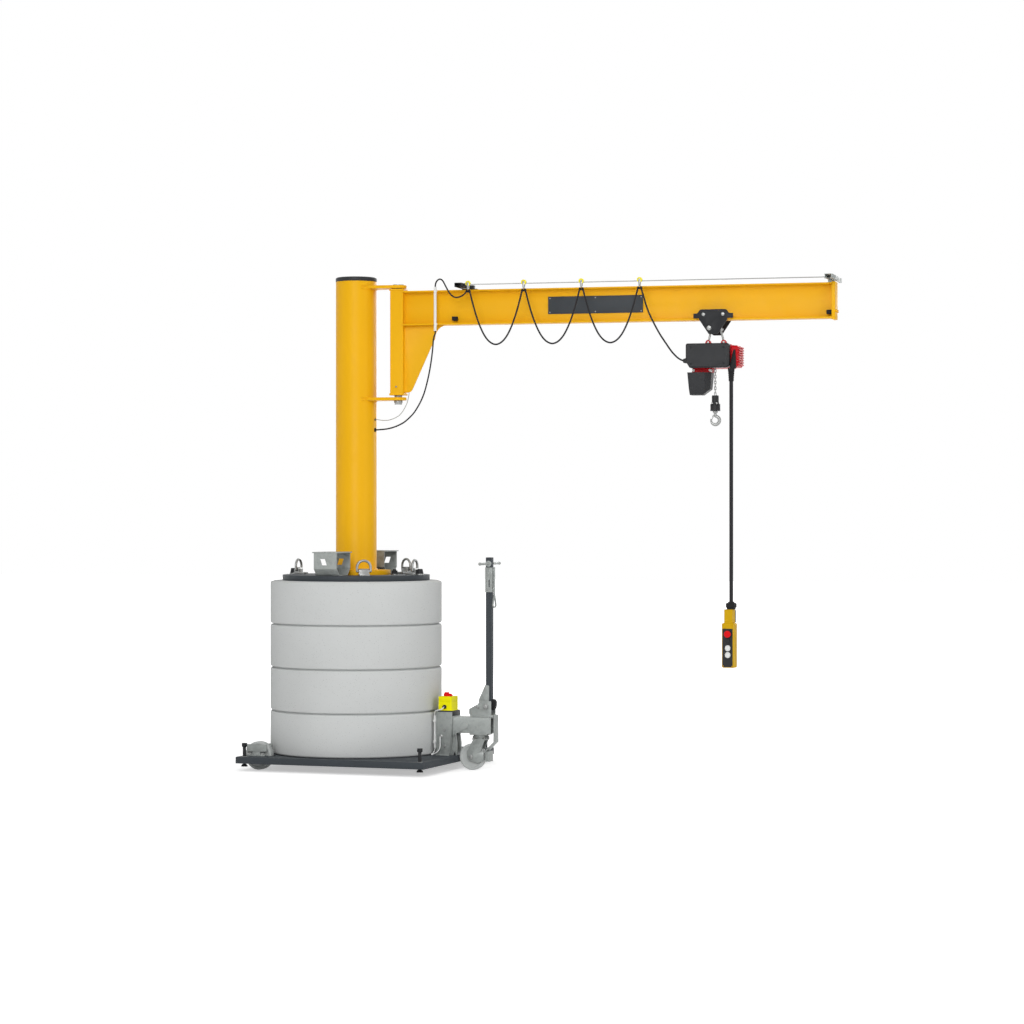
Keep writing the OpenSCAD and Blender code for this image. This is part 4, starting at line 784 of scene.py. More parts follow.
@dataclass(frozen=True)
class SocketHead:
    """A screw's round head with a socket in its crown.

    Attributes:
        radius: The head's radius.
        shoulder: Height where its chamfer starts.
        crown: Radius and height where the chamfer ends.
        mouth: The socket's radius at the crown.
        socket: Radius and height of the socket's floor.
        foot: Height where the head starts.
    """

    radius: float
    shoulder: float
    crown: Flat
    mouth: float
    socket: Flat
    foot: float = -0.002

    @property
    def profile(self) -> list[Flat]:
        """The head's outline, from its foot to the socket's floor."""
        mouth = (self.mouth, self.crown[1])
        sides = ((self.radius, self.foot), (self.radius, self.shoulder), self.crown, mouth)
        return ring_profile(0.0, *sides, self.socket)


def ring_route(
    centre: Sequence[float], radius: float, steps: int, start: float = 0, end: float = 360
) -> list[Point]:
    """Returns a level arc of points about a centre.

    Args:
        centre: The arc's centre.
        radius: Its radius.
        steps: How many stretches it has.
        start: The angle where it starts, in degrees.
        end: The angle where it ends.

    Returns:
        The points.
    """
    x, y, z = centre
    angles = [math.radians(start + (end - start) * i / steps) for i in range(steps + 1)]
    return [(x + radius * math.cos(a), y + radius * math.sin(a), z) for a in angles]


def line_route(a: Sequence[float], b: Sequence[float], step: float = 0.004) -> list[Point]:
    """Returns points on the straight line from a to b, about a step apart.

    Args:
        a: The first point.
        b: The last point.
        step: The distance between points.

    Returns:
        The points.
    """
    first, last = Vector(a), Vector(b)
    parts = max(2, round((last - first).length / step))
    return [tuple(first.lerp(last, i / parts)) for i in range(parts + 1)]


def smooth_route(points: Sequence[Point], parts: int) -> list[Point]:
    """Returns the smooth curve through given points.

    Args:
        points: The points that the curve passes.
        parts: How many stretches lie between two points.

    Returns:
        The curve's points.
    """
    found: list[Point] = []
    last = len(points) - 1
    for i in range(last):
        a, b, c, d = (Vector(points[max(0, min(last, k))]) for k in (i - 1, i, i + 1, i + 2))
        for k in range(parts):
            t = k / parts
            bend = (2 * a - 5 * b + 4 * c - d) * t**2
            twist = (3 * b - a - 3 * c + d) * t**3
            found.append(tuple(0.5 * (2 * b + (c - a) * t + bend + twist)))
    return found + [tuple(points[last])]


# ------------------------------------------------------------------ studio


@dataclass
class Studio:
    """Camera, lamps, world and floor."""

    camera_place: Point = (6.073, -14.079, 1.366)
    camera_turn: Point = (90.0, 0.0, 20.2)
    lens: float = 100.0
    sensor: float = 36.0
    view_end: float = 200.0
    aim: Point = (0.7, 0.0, 1.3)
    sky_light: float = 0.40
    lamps: tuple[tuple[str, Point, float, float], ...] = (
        ("key", (2.6, -9.5, 5.0), 4.5, 450.0),
        ("left", (-8.5, -5.0, 4.0), 4.5, 60.0),
        ("right", (10.0, -2.5, 4.0), 4.5, 170.0),
        ("back", (1.0, 8.5, 5.0), 5.0, 250.0),
        ("top", (0.8, -0.5, 9.5), 6.0, 75.0),
    )
    floor_size: float = 80.0
    floor_colour: Point = (0.9, 0.9, 0.9)
    pool: Flat = (1.6, 4.2)
    glow: Flat = (0.45, 1.0)

    def build(self) -> None:
        """Makes the camera, the world, the lamps and the floor."""
        self.camera()
        self.world()
        for lamp in self.lamps:
            self.lamp(*lamp)
        self.floor()

    def camera(self) -> None:
        """Sets the scene's camera."""
        data = bpy.data.cameras.new("camera")
        data.lens = self.lens
        data.sensor_width = self.sensor
        data.clip_end = self.view_end
        camera = bpy.data.objects.new("camera", data)
        camera.location = self.camera_place
        camera.rotation_euler = [math.radians(a) for a in self.camera_turn]
        bpy.context.scene.collection.objects.link(camera)
        bpy.context.scene.camera = camera

    def seen(self, tree: bpy.types.NodeTree) -> bpy.types.NodeSocket:
        """Returns 1 where something is seen straight, in gloss or through glass, and else 0.

        Args:
            tree: The node tree of the material or the world.

        Returns:
            The value's socket.
        """
        ray = tree.nodes.new("ShaderNodeLightPath")
        found = ray.outputs["Is Camera Ray"]
        for name in ("Is Glossy Ray", "Is Transmission Ray"):
            either = tree.nodes.new("ShaderNodeMath")
            either.operation = "MAXIMUM"
            tree.links.new(found, either.inputs[0])
            tree.links.new(ray.outputs[name], either.inputs[1])
            found = either.outputs[0]
        return found

    def world(self) -> None:
        """Lights evenly from all round, and shows white behind the crane."""
        world = bpy.data.worlds.new("studio")
        bpy.context.scene.world = world
        world.use_nodes = True
        tree = world.node_tree
        sky = tree.nodes["Background"]
        sky.inputs["Color"].default_value = (1.0, 1.0, 1.0, 1.0)
        level = tree.nodes.new("ShaderNodeMapRange")
        level.inputs["To Min"].default_value = self.sky_light
        level.inputs["To Max"].default_value = 1.0
        tree.links.new(self.seen(tree), level.inputs["Value"])
        tree.links.new(level.outputs["Result"], sky.inputs["Strength"])

    def lamp(self, name: str, place: Point, size: float, power: float) -> None:
        """Adds a soft square lamp that faces the crane's middle.

        Args:
            name: The lamp's name.
            place: Where it stands.
            size: Length of its side.
            power: Its power in watts.
        """
        data = bpy.data.lights.new(name, "AREA")
        data.energy = power
        data.size = size
        lamp = bpy.data.objects.new(name, data)
        lamp.location = place
        facing = Vector(self.aim) - Vector(place)
        lamp.rotation_euler = facing.to_track_quat("-Z", "Y").to_euler()
        bpy.context.scene.collection.objects.link(lamp)

    def floor(self) -> None:
        """Lays a white floor that keeps the crane's shadow and runs into the white beyond it."""
        bpy.ops.object.select_all(action="DESELECT")
        bpy.ops.mesh.primitive_plane_add(size=self.floor_size, location=(0.0, 0.0, 0.0))
        floor = bpy.context.object
        floor.name = "floor"
        material = bpy.data.materials.new("floor")
        material.use_nodes = True
        tree = material.node_tree
        shader = tree.nodes["Principled BSDF"]
        shader.inputs["Base Color"].default_value = (*self.floor_colour, 1.0)
        shader.inputs["Roughness"].default_value = 0.9
        shader.inputs["Specular IOR Level"].default_value = 0.0
        shader.inputs["Emission Color"].default_value = (1.0, 1.0, 1.0, 1.0)
        where = tree.nodes.new("ShaderNodeTexCoord")
        away = tree.nodes.new("ShaderNodeVectorMath")
        away.operation = "LENGTH"
        glow = tree.nodes.new("ShaderNodeMapRange")
        ends = ("From Min", "From Max", "To Min", "To Max")
        for name, value in zip(ends, self.pool + self.glow):
            glow.inputs[name].default_value = value
        share = tree.nodes.new("ShaderNodeMath")
        share.operation = "MULTIPLY"
        tree.links.new(where.outputs["Object"], away.inputs[0])
        tree.links.new(away.outputs["Value"], glow.inputs["Value"])
        tree.links.new(glow.outputs["Result"], share.inputs[0])
        tree.links.new(self.seen(tree), share.inputs[1])
        tree.links.new(share.outputs[0], shader.inputs["Emission Strength"])
        floor.data.materials.append(material)


# ------------------------------------------------------------------ the crane


@dataclass
class JibFrame:
    """Where the jib stands: its pivot, its direction and the trolley's place along it."""

    joints: list[dict]

    def joint(self, name: str) -> dict:
        """Returns the joint of a name."""
        return next(j for j in self.joints if j["name"] == name)

    @property
    def pivot(self) -> Vector:
        """The slewing axis on the floor."""
        where = self.joint("jib_slew")["pos_m"]
        return Vector((where[0], where[1], 0.0))

    @property
    def matrix(self) -> Matrix:
        """Carries the jib's own frame to its place."""
        along = self.joint("trolley_run")["axis"]
        turn = math.atan2(along[1], along[0])
        return Matrix.Translation(self.pivot) @ Matrix.Rotation(turn, 4, "Z")

    @property
    def trolley_r(self) -> float:
        """The trolley's distance from the pivot."""
        hook = Vector(self.joint("hook_swivel")["pos_m"])
        return (self.matrix.inverted() @ hook).x

    def out(self, route: Sequence[Point]) -> list[Point]:
        """Carries a route from the jib's own frame to its place."""
        return [tuple(self.matrix @ Vector(p)) for p in route]


Tint = tuple[Paint, Callable[[Vector], bool]]


@dataclass
class Assembly:
    """A part of the crane: it dresses its frame nodes and adds the pieces that finish them.

    Its own frame is where its sizes are meant, and place carries that frame to the crane's.
    """

    bench: Bench
    jib: JibFrame
    body: str = "chassis"
    bead_ripple: float = 0.22

    @property
    def place(self) -> Matrix:
        """Carries the assembly's own frame to the crane's."""
        return Matrix.Identity(4)

    def build(self) -> None:
        """Dresses the nodes and adds the pieces."""

    def dress(
        self, node: str, paint: Paint, edge: float = 0.0, tints: Sequence[Tint] = ()
    ) -> bpy.types.Object:
        """Dresses a frame node as a copy with rounded edges.

        Args:
            node: The frame node.
            paint: Its finish.
            edge: Width of its rounded edges.
            tints: Other finishes, each for the faces whose middles pass its test in the own frame.

        Returns:
            The dressed copy.
        """
        record = self.bench.frame["record"]
        home = next(body for body, nodes in record["behaviour"]["bodies"].items() if node in nodes)
        slot = next(part["material_slot"] for part in record["subparts"] if part["node"] == node)
        piece = self.bench.copy_node(node, f"{node}_dressed")
        if edge:
            self.bench.bevelled(piece, edge)
        self.bench.dressed(piece, home, paint, [node], slot)
        self.tint(piece, tints)
        return piece

    def corners(self, node: str) -> list[Vector]:
        """Returns the corners of a frame node's mesh in the own frame."""
        back = self.place.inverted()
        return [back @ v.co for v in self.bench.frame["nodes"][node].data.vertices]

    def tint(self, piece: bpy.types.Object, tints: Sequence[Tint]) -> None:
        """Gives the faces that pass a test another finish.

        Args:
            piece: The piece.
            tints: Finishes with their tests of a face's middle in the own frame.
        """
        back = self.place.inverted()
        for paint, test in tints:
            piece.data.materials.append(paint.value.material())
            index = len(piece.data.materials) - 1
            for face in piece.data.polygons:
                if test(back @ face.center):
                    face.material_index = index

    def add(
        self,
        piece: bpy.types.Object,
        paint: Paint,
        body: str | None = None,
        slot: str | None = None,
    ) -> bpy.types.Object:
        """Carries a piece from the own frame to its place and dresses it.

        Args:
            piece: The piece.
            paint: Its finish.
            body: The body it rides on, by default the assembly's own.
            slot: The record's material slot, by default the finish's name.

        Returns:
            The piece.
        """
        self.bench.moved(piece, self.place)
        return self.bench.dressed(piece, body or self.body, paint, (), slot)

    def bolts(
        self,
        name: str,
        flats: float,
        height: float,
        places: Sequence[Place],
        paint: Paint = Paint.BRIGHT,
        washer: float = 0.0,
        body: str | None = None,
    ) -> None:
        """Adds hexagon heads at places, each given with the direction it stands along.

        Args:
            name: The joined piece's name.
            flats: Width across the flats.
            height: Height of a head.
            places: Where each stands and the direction it stands along.
            paint: Its finish.
            washer: Thickness of the washer under it.
            body: The body it rides on, by default the assembly's own.
        """
        head = self.bench.hexagon(name, flats, height, washer)
        spots = [standing(place, along, 17.0 * i) for i, (place, along) in enumerate(places)]
        self.add(self.bench.strewn(name, head, spots), paint, body)

    def rounds(
        self,
        name: str,
        profile: Sequence[Flat],
        places: Sequence[Place],
        paint: Paint,
        body: str | None = None,
        slot: str | None = None,
        steps: int = 32,
    ) -> None:
        """Adds one turned shape at places, each given with the direction it stands along.

        Args:
            name: The joined piece's name.
            profile: Radius and height of each corner.
            places: Where each stands and the direction it stands along.
            paint: Its finish.
            body: The body it rides on, by default the assembly's own.
            slot: The record's material slot, by default the finish's name.
            steps: How many facets go round.
        """
        shape = self.bench.turned(name, profile, steps)
        spots = [standing(place, along) for place, along in places]
        self.add(self.bench.strewn(name, shape, spots), paint, body, slot)

    def beads(
        self, name: str, routes: Sequence[Sequence[Point]], width: float, paint: Paint
    ) -> None:
        """Adds weld beads along routes.

        Args:
            name: The joined piece's name.
            routes: The middle line of each bead.
            width: A bead's width.
            paint: Its finish.
        """
        made = [
            self.bench.tube(f"{name}_{i}", route, width, sides=1, ripple=self.bead_ripple)
            for i, route in enumerate(routes)
        ]
        self.add(self.bench.joined(name, made), paint)


@dataclass
class Cords:
    """The crane's free cables."""

    bench: Bench
    jib: JibFrame
    supply_diameter: float = 0.008
    earth_diameter: float = 0.004
    loop_diameter: float = 0.009
    pendant_diameter: float = 0.020
    clip_z: float = 2.537
    parts: int = 4
    clip_half: float = 0.006
    loop_half: float = 0.155
    supply: tuple[Point, ...] = (
        (0.104, 0.0, 1.807), (0.120, 0.0, 1.807), (0.142, -0.001, 1.808), (0.178, -0.003, 1.811),
        (0.214, -0.006, 1.818), (0.250, -0.009, 1.830), (0.284, -0.013, 1.846),
        (0.314, -0.017, 1.868), (0.342, -0.020, 1.894), (0.366, -0.023, 1.926),
        (0.388, -0.026, 1.962), (0.406, -0.028, 2.002), (0.420, -0.030, 2.046),
        (0.432, -0.031, 2.092), (0.442, -0.032, 2.140), (0.450, -0.032, 2.190),
        (0.456, -0.032, 2.240), (0.460, -0.032, 2.286), (0.470, -0.032, 2.318),
        (0.470, -0.032, 2.342),
    )
    earth: tuple[Point, ...] = (
        (0.104, 0.0, 1.862), (0.120, 0.0, 1.862), (0.148, 0.0, 1.858), (0.177, 0.0, 1.857),
        (0.204, 0.001, 1.862), (0.226, 0.002, 1.870), (0.250, 0.003, 1.884),
        (0.268, 0.004, 1.904), (0.282, 0.004, 1.926), (0.293, 0.005, 1.949),
        (0.300, 0.005, 1.974), (0.305, 0.006, 2.002),
    )
    top: tuple[Point, ...] = (
        (0.221, -0.053, 2.544), (0.221, -0.053, 2.562), (0.223, -0.054, 2.577),
        (0.229, -0.057, 2.590), (0.239, -0.060, 2.599), (0.250, -0.064, 2.602),
        (0.261, -0.068, 2.598), (0.271, -0.072, 2.588), (0.280, -0.076, 2.573),
        (0.290, -0.080, 2.556), (0.301, -0.084, 2.538), (0.314, -0.090, 2.521),
        (0.331, -0.098, 2.507), (0.352, -0.107, 2.500), (0.374, -0.116, 2.502),
        (0.393, -0.123, 2.509), (0.406, -0.127, 2.519), (0.414, -0.129, 2.528),
        (0.418, -0.130, 2.536),
    )
    half_loop: tuple[Flat, ...] = (
        (0.0, 0.0), (0.006, -0.020), (0.016, -0.056), (0.030, -0.104), (0.047, -0.154),
        (0.068, -0.204), (0.093, -0.248), (0.122, -0.278),
    )
    loop_drop: float = -0.290
    lead: tuple[Point, ...] = (
        (1.354, -0.130, 2.537), (1.359, -0.130, 2.517), (1.369, -0.129, 2.484),
        (1.382, -0.127, 2.438), (1.400, -0.124, 2.390), (1.424, -0.120, 2.340),
        (1.452, -0.114, 2.288), (1.484, -0.106, 2.238), (1.514, -0.097, 2.194),
        (1.543, -0.087, 2.164), (1.568, -0.079, 2.151), (1.590, -0.078, 2.150),
    )
    pendant_heights: tuple[float, ...] = (
        2.047, 1.990, 1.940, 1.880, 1.820, 1.760, 1.700, 1.640, 1.580, 1.520, 1.460, 1.400, 1.340,
        1.280, 1.220, 1.160, 1.100, 1.040, 0.980, 0.930, 0.884,
    )

    def build(self) -> None:
        """Makes every free cable in its place."""
        node, ends = "supply_cables", ("chassis", "jib")
        supply = smooth_route(self.supply, self.parts)
        self.cable("supply_cable", supply, self.supply_diameter, ends, node)
        earth = smooth_route(self.earth, self.parts)
        self.cable("earth_wire", earth, self.earth_diameter, ends, node, Paint.EARTH)
        top = self.jib.out(smooth_route(self.top, self.parts))
        self.cable("top_loop_cable", top, self.supply_diameter, ("jib",), node)
        for i, (a, b) in enumerate(zip(CAR_R, CAR_R[1:]), start=1):
            hanging = self.loop(a + self.clip_half, b - self.clip_half)
            route = self.jib.out(smooth_route(hanging, self.parts))
            cars = (f"car_{i}", f"car_{i + 1}")
            self.cable(f"cable_loop_{i}", route, self.loop_diameter, cars, "loop_cables")
        lead = self.jib.out(smooth_route(self.lead, self.parts))
        self.cable("hoist_lead", lead, self.loop_diameter, ("car_4", "trolley"), "loop_cables")
        x, q = PENDANT_HANG
        hang = self.jib.out([(self.jib.trolley_r + x, q, z) for z in self.pendant_heights])
        self.cable("pendant_flex", hang, self.pendant_diameter, ("trolley",), "pendant_cable")

    def loop(self, a: float, b: float) -> list[Point]:
        """Returns a hanging loop between the clips at a and b, in the jib's own frame.

        Args:
            a: Distance of the first clip from the pivot.
            b: Distance of the second.

        Returns:
            The loop's points.
        """
        half = (b - a) / 2
        wide = half / self.loop_half
        down = [(a + r * wide, LINE_Q, self.clip_z + z) for r, z in self.half_loop]
        up = [(b - r * wide, LINE_Q, self.clip_z + z) for r, z in reversed(self.half_loop)]
        return down + [(a + half, LINE_Q, self.clip_z + self.loop_drop)] + up

    def cable(
        self,
        name: str,
        route: list[Point],
        diameter: float,
        bodies: tuple[str, ...],
        node: str,
        paint: Paint = Paint.SHEATH,
    ) -> None:
        """Args:
            name: The cable's name.
            route: Its middle line.
            diameter: Its diameter.
            bodies: The body that it rides on, or the two that it hangs between.
            node: The frame node that it stands for.
            paint: Its finish.
        """
        piece = self.bench.tube(name, route, diameter, sides=5)
        home = bodies[0] if len(bodies) == 1 else None
        self.bench.dressed(piece, home, paint, [node], slot="cable", smooth=60.0)
        if len(bodies) == 2:
            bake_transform(piece)


@dataclass
class BasePlate(Assembly):
    """The wheeled plate with its axle brackets, rear wheels and jack screws."""

    rear_axle: Flat = (-0.396, 0.374)
    wheel_r: float = 0.075
    wheel_reach: float = 0.028
    jack_in: float = 0.035
    shank_r: float = 0.0102
    shank_z: Flat = (0.016, 0.1245)
    corner: Point = (0.598, 0.515, 0.076)
    rear: float = -0.470
    bolt_z: float = 0.0825
    bolt_in: float = 0.038
    bolt_half: Flat = (0.0105, 0.0095)
    rib_in: float = 0.0088

    def build(self) -> None:
        """Dresses the plate and its wheels, and adds bearings, ribs and bushes."""
        self.dress("base_plate", Paint.ANTHRACITE, edge=0.0015)
        self.dress("axle_brackets", Paint.ZINC, edge=0.0008, tints=[(Paint.BRIGHT, self.on_bolt)])
        x, y = self.rear_axle
        bearing = ring_profile(0.0115, (0.021, -0.001), (0.021, 0.0018), (0.0195, 0.003))
        rib = [(0.0465, -0.0012), (0.0485, -0.0012), (0.049, 0.0008), (0.046, 0.0008)]
        for side, end in ((-1, "left"), (1, "right")):
            node, body = f"rear_wheel_{end}", f"rear_{end}"
            self.dress(node, Paint.NYLON, edge=0.0012)
            faces, ribs = (
                [((x, side * y + d * reach, self.wheel_r), (0, d, 0)) for d in (-1, 1)]
                for reach in (self.wheel_reach, self.wheel_reach - self.rib_in)
            )
            self.rounds(f"{node}_bearing", bearing, faces, Paint.BRIGHT, body)
            self.rounds(f"{node}_rib", rib, ribs, Paint.NYLON, body, "nylon", 56)
        for i in range(4):
            node = f"jack_screw_{i + 1}"
            self.dress(node, Paint.BLACK_METAL, edge=0.0008, tints=[(Paint.THREAD, self.on_thread)])
            self.jack_bush(i)

    @property
    def bolt_out(self) -> float:
        """How far the bracket bolts stand from the wheel's middle."""
        low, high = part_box("axle_brackets")
        return abs(high[1]) - 0.015 - self.rear_axle[1] + 0.013

    def on_bolt(self, p: Vector) -> bool:
        """Tells whether a point is on a bolt of the axle brackets.

        Args:
            p: The point.

        Returns:
            Whether it is.
        """
        x, y = self.rear_axle
        along = abs(abs(p.x - x) - self.bolt_in) < self.bolt_half[0]
        across = abs(abs(abs(p.y) - y) - self.bolt_out) < self.bolt_half[1]
        return p.z > self.bolt_z and along and across

    def jack(self, front: bool, right: bool) -> Flat:
        """Returns where a jack screw stands on the plate.

        Args:
            front: Whether it is one of the two towards +X.
            right: Whether it is one of the two towards -Y.

        Returns:
            Its x and y.
        """
        x = self.corner[0] - self.jack_in if front else self.rear + self.jack_in
        y = self.corner[1] - self.jack_in
        return (x, -y if right else y)

    def on_thread(self, p: Vector) -> bool:
        """Tells whether a point is on a jack screw's shank.

        Args:
            p: The point.

        Returns:
            Whether it is.
        """
        low, high = self.shank_z
        x, y = self.jack(p.x > 0, p.y < 0)
        return low < p.z < high and math.hypot(p.x - x, p.y - y) < self.shank_r

    def jack_bush(self, i: int) -> None:
        """Adds the rim of the bush that a jack screw turns in.

        Args:
            i: The screw's number, from 0.
        """
        x, y = self.jack(i < 2, i % 2 == 0)
        rim = ring_profile(0.0094, (0.0155, 0.0), (0.0155, 0.0006), (0.0145, 0.0016))
        self.rounds(f"jack_bush_{i + 1}", rim, [((x, y, self.corner[2]), (0, 0, 1))], Paint.BRIGHT)


@dataclass
class Ballast(Assembly):
    """The concrete rings with the clamp plate and its nuts."""

    top: float = 1.000
    nut_foot: float = 0.0345

    def build(self) -> None:
        """Dresses the rings, the plate and the nuts."""
        for i in range(4):
            self.dress(f"ballast_ring_{i + 1}", Paint.CONCRETE, edge=0.003)
        self.dress("clamp_plate", Paint.ANTHRACITE, edge=0.0018)
        washer = [(Paint.BRIGHT, lambda p: p.z < self.top + self.nut_foot)]
        self.dress("clamp_nuts", Paint.BLACK_METAL, edge=0.0009, tints=washer)


@dataclass
class LiftingGear(Assembly):
    """The fork pockets and the hinged lifting eyes."""

    eye_r: float = 0.340
    angles: tuple[float, ...] = (-60.0, 0.0, 60.0, 180.0)
    plate_top: float = 1.030
    bolt_out: float = 0.029
    bolt_z: Flat = (0.0005, 0.0105)
    bolt_r: Flat = (0.0215, 0.0225)
    hinge_out: float = 0.0142
    socket_z: float = 0.0298

    def build(self) -> None:
        """Dresses pockets, eye bodies and rings, and adds the bolts' sockets."""
        self.dress("fork_pockets", Paint.ZINC, edge=0.0009)
        bolts = [(Paint.BLACK_METAL, self.on_bolt)]
        self.dress("lifting_eye_bases", Paint.BRIGHT, edge=0.0014, tints=bolts)
        for i in range(4):
            self.dress(f"lifting_ring_{i + 1}", Paint.BRIGHT)
        self.bolt_heads()

    def side(self, i: int) -> int:
        """Returns 1 where an eye's bolt lies outwards of its hinge, and else -1."""
        return -1 if i == 0 else 1

    def bolt(self, i: int) -> Point:
        """Returns where an eye's bolt stands on the plate.

        Args:
            i: The eye's number, from 0.

        Returns:
            The bolt's middle.
        """
        turn = math.radians(self.angles[i])
        r = self.eye_r + self.bolt_out * self.side(i)
        return (r * math.cos(turn), r * math.sin(turn), self.plate_top)

    def on_bolt(self, p: Vector) -> bool:
        """Tells whether a point is on one of the eyes' bolts.

        Args:
            p: The point.

        Returns:
            Whether it is.
        """
        foot, head = self.bolt_r
        for i in range(4):
            x, y, z = self.bolt(i)
            away = math.hypot(p.x - x, p.y - y)
            reach = head if p.z > z + self.bolt_z[1] else foot
            if away < reach and p.z > z + self.bolt_z[0]:
                return self.outside_body(i, p)
        return False

    def outside_body(self, i: int, p: Vector) -> bool:
        """Tells whether a point is clear of an eye's hinge body.

        Args:
            i: The eye's number, from 0.
            p: The point.

        Returns:
            Whether it is.
        """
        turn = math.radians(self.angles[i])
        out = p.x * math.cos(turn) + p.y * math.sin(turn) - self.eye_r
        return out * self.side(i) > self.hinge_out

    def bolt_heads(self) -> None:
        """Adds the socket screws' rims on the eyes' bolts."""
        rim = ((0.0148, 0.0), (0.0148, 0.0012), (0.0138, 0.0024), (0.0088, 0.0024))
        profile = ring_profile(0.0, *rim, (0.0080, 0.0014), (0.0080, 0.0006))
        places = []
        for i in range(4):
            x, y, z = self.bolt(i)
            places.append(((x, y, z + self.socket_z), (0, 0, 1)))
        self.rounds("eye_bolt_sockets", profile, places, Paint.BLACK_METAL, steps=40)


@dataclass
class Column(Assembly):
    """The column with its foot, the pivot brackets and the cap."""

    radius: float = 0.10955
    foot_z: float = 1.055
    bracket_levels: tuple[float, ...] = (1.963, 1.979, 2.562, 2.578)
    bracket_angle: float = 52.0
    supply_z: float = 1.807
    earth_z: float = 1.862

    def build(self) -> None:
        """Dresses the column, and adds weld beads and cable bushes."""
        self.dress("column", Paint.YELLOW, edge=0.0022)
        self.dress("column_brackets", Paint.YELLOW, edge=0.0015)
        self.dress("column_cap", Paint.BLACK_PLASTIC, edge=0.0015)
        foot = ring_route((0, 0, self.foot_z + 0.001), self.radius + 0.001, 150)
        self.beads("column_foot_weld", [foot], width=0.011, paint=Paint.YELLOW)
        reach = self.bracket_angle
        bead = [
            ring_route((0, 0, level), self.radius + 0.0005, 60, -reach, reach)
            for level in self.bracket_levels
        ]
        self.beads("bracket_weld", bead, width=0.007, paint=Paint.YELLOW)
        supply = ring_profile(0.0075, (0.0105, -0.004), (0.0115, 0.001), (0.0105, 0.003))
        earth = ring_profile(0.004, (0.0065, -0.004), (0.0072, 0.001), (0.0064, 0.003))
        bushes = (("supply_bush", supply, self.supply_z), ("earth_bush", earth, self.earth_z))
        for name, profile, z in bushes:
            self.rounds(name, profile, [((self.radius, 0, z), (1, 0, 0))], Paint.BLACK_RUBBER)


@dataclass
class SteeringPost(Assembly):
    """The post with the arm, the main switch and its conduit."""

    post_x: Flat = (0.488, 0.577)
    half_w: float = 0.062
    switch_mid: Point = (0.5315, 0.0, 0.387)
    switch_half: Flat = (0.0375, 0.050)
    switch_base: float = 0.314
    fitting: Point = (0.514, -0.062, 0.176)
    weld_z: float = 0.0775
    screw_in: float = 0.0085
    plate_half: Point = (0.0255, 0.0275, 0.0002)
    gland_z: float = 0.334

    def build(self) -> None:
        """Dresses the post and the switch, and adds screws, welds and fittings."""
        self.dress("steering_post", Paint.ZINC, edge=0.0015)
        base = [(Paint.BLACK_PLASTIC, lambda p: p.z < self.switch_base - 0.0004)]
        self.dress("switch_box", Paint.SIGNAL_YELLOW, edge=0.0016, tints=base)
        self.dress("switch_knob", Paint.RED_PLASTIC, edge=0.0018)
        self.dress("switch_conduit", Paint.WHITE_PLASTIC, edge=0.0008)
        self.welds()
        self.screws()
        self.gland()

    def welds(self) -> None:
        """Adds the beads at the post's foot."""
        x0, x1 = self.post_x
        y, z = self.half_w, self.weld_z
        foot = [
            line_route((x0, -y - 0.001, z), (x1 - 0.018, -y - 0.001, z)),
            line_route((x0, y + 0.001, z), (x1 - 0.018, y + 0.001, z)),
            line_route((x0 - 0.001, -y, z), (x0 - 0.001, y, z)),
        ]
        self.beads("post_foot_weld", foot, width=0.006, paint=Paint.ZINC)

    def screws(self) -> None:
        """Adds the lid's four screws and the bare plate under the grip."""
        x, y, z = self.switch_mid
        dx, dy = (half - self.screw_in for half in self.switch_half)
        head = SocketHead(0.0046, 0.0008, (0.0040, 0.0014), 0.0018, (0.0014, 0.0008), 0.0)
        level = z - 0.0002
        places = [
            ((x + a * dx, y + b * dy, level), (0, 0, 1)) for a in (-1, 1) for b in (-1, 1)
        ]
        self.rounds("switch_lid_screws", head.profile, places, Paint.BLACK_PLASTIC, steps=24)
        px, py, pz = self.plate_half
        low, high = (x - px, y - py, z - pz), (x + px, y + py, z + pz)
        plate = self.bench.block("switch_plate", low, high)
        self.add(self.bench.bevelled(plate, width=0.00015, segments=1), Paint.SIGNAL_YELLOW)

    def gland(self) -> None:
        """Adds the gland on the switch's side and the fitting on the post's cheek."""
        x, _, z = self.switch_mid
        nut = ((0.0105, -0.004), (0.0105, 0.004), (0.0095, 0.005), (0.0095, 0.011))
        gland = ring_profile(0.0034, *nut, (0.0080, 0.014), (0.0060, 0.0155))
        side = (x, -self.switch_half[1], self.gland_z)
        self.rounds("switch_gland", gland, [(side, (0, -1, 0))], Paint.BLACK_PLASTIC)
        fx, fy, fz = self.fitting
        flange = ((0.0110, -0.001), (0.0110, 0.004), (0.0085, 0.0048), (0.0085, 0.009))
        fitting = ring_profile(0.0032, *flange, (0.0066, 0.011))
        self.rounds("post_fitting", fitting, [((fx, fy, fz), (0, -1, 0))], Paint.BRIGHT)
        nuts = [((fx + 0.020, fy, fz + rise), (0, -1, 0)) for rise in (0.036, -0.050)]
        self.bolts("post_side_bolts", flats=0.013, height=0.006, places=nuts, washer=0.0016)


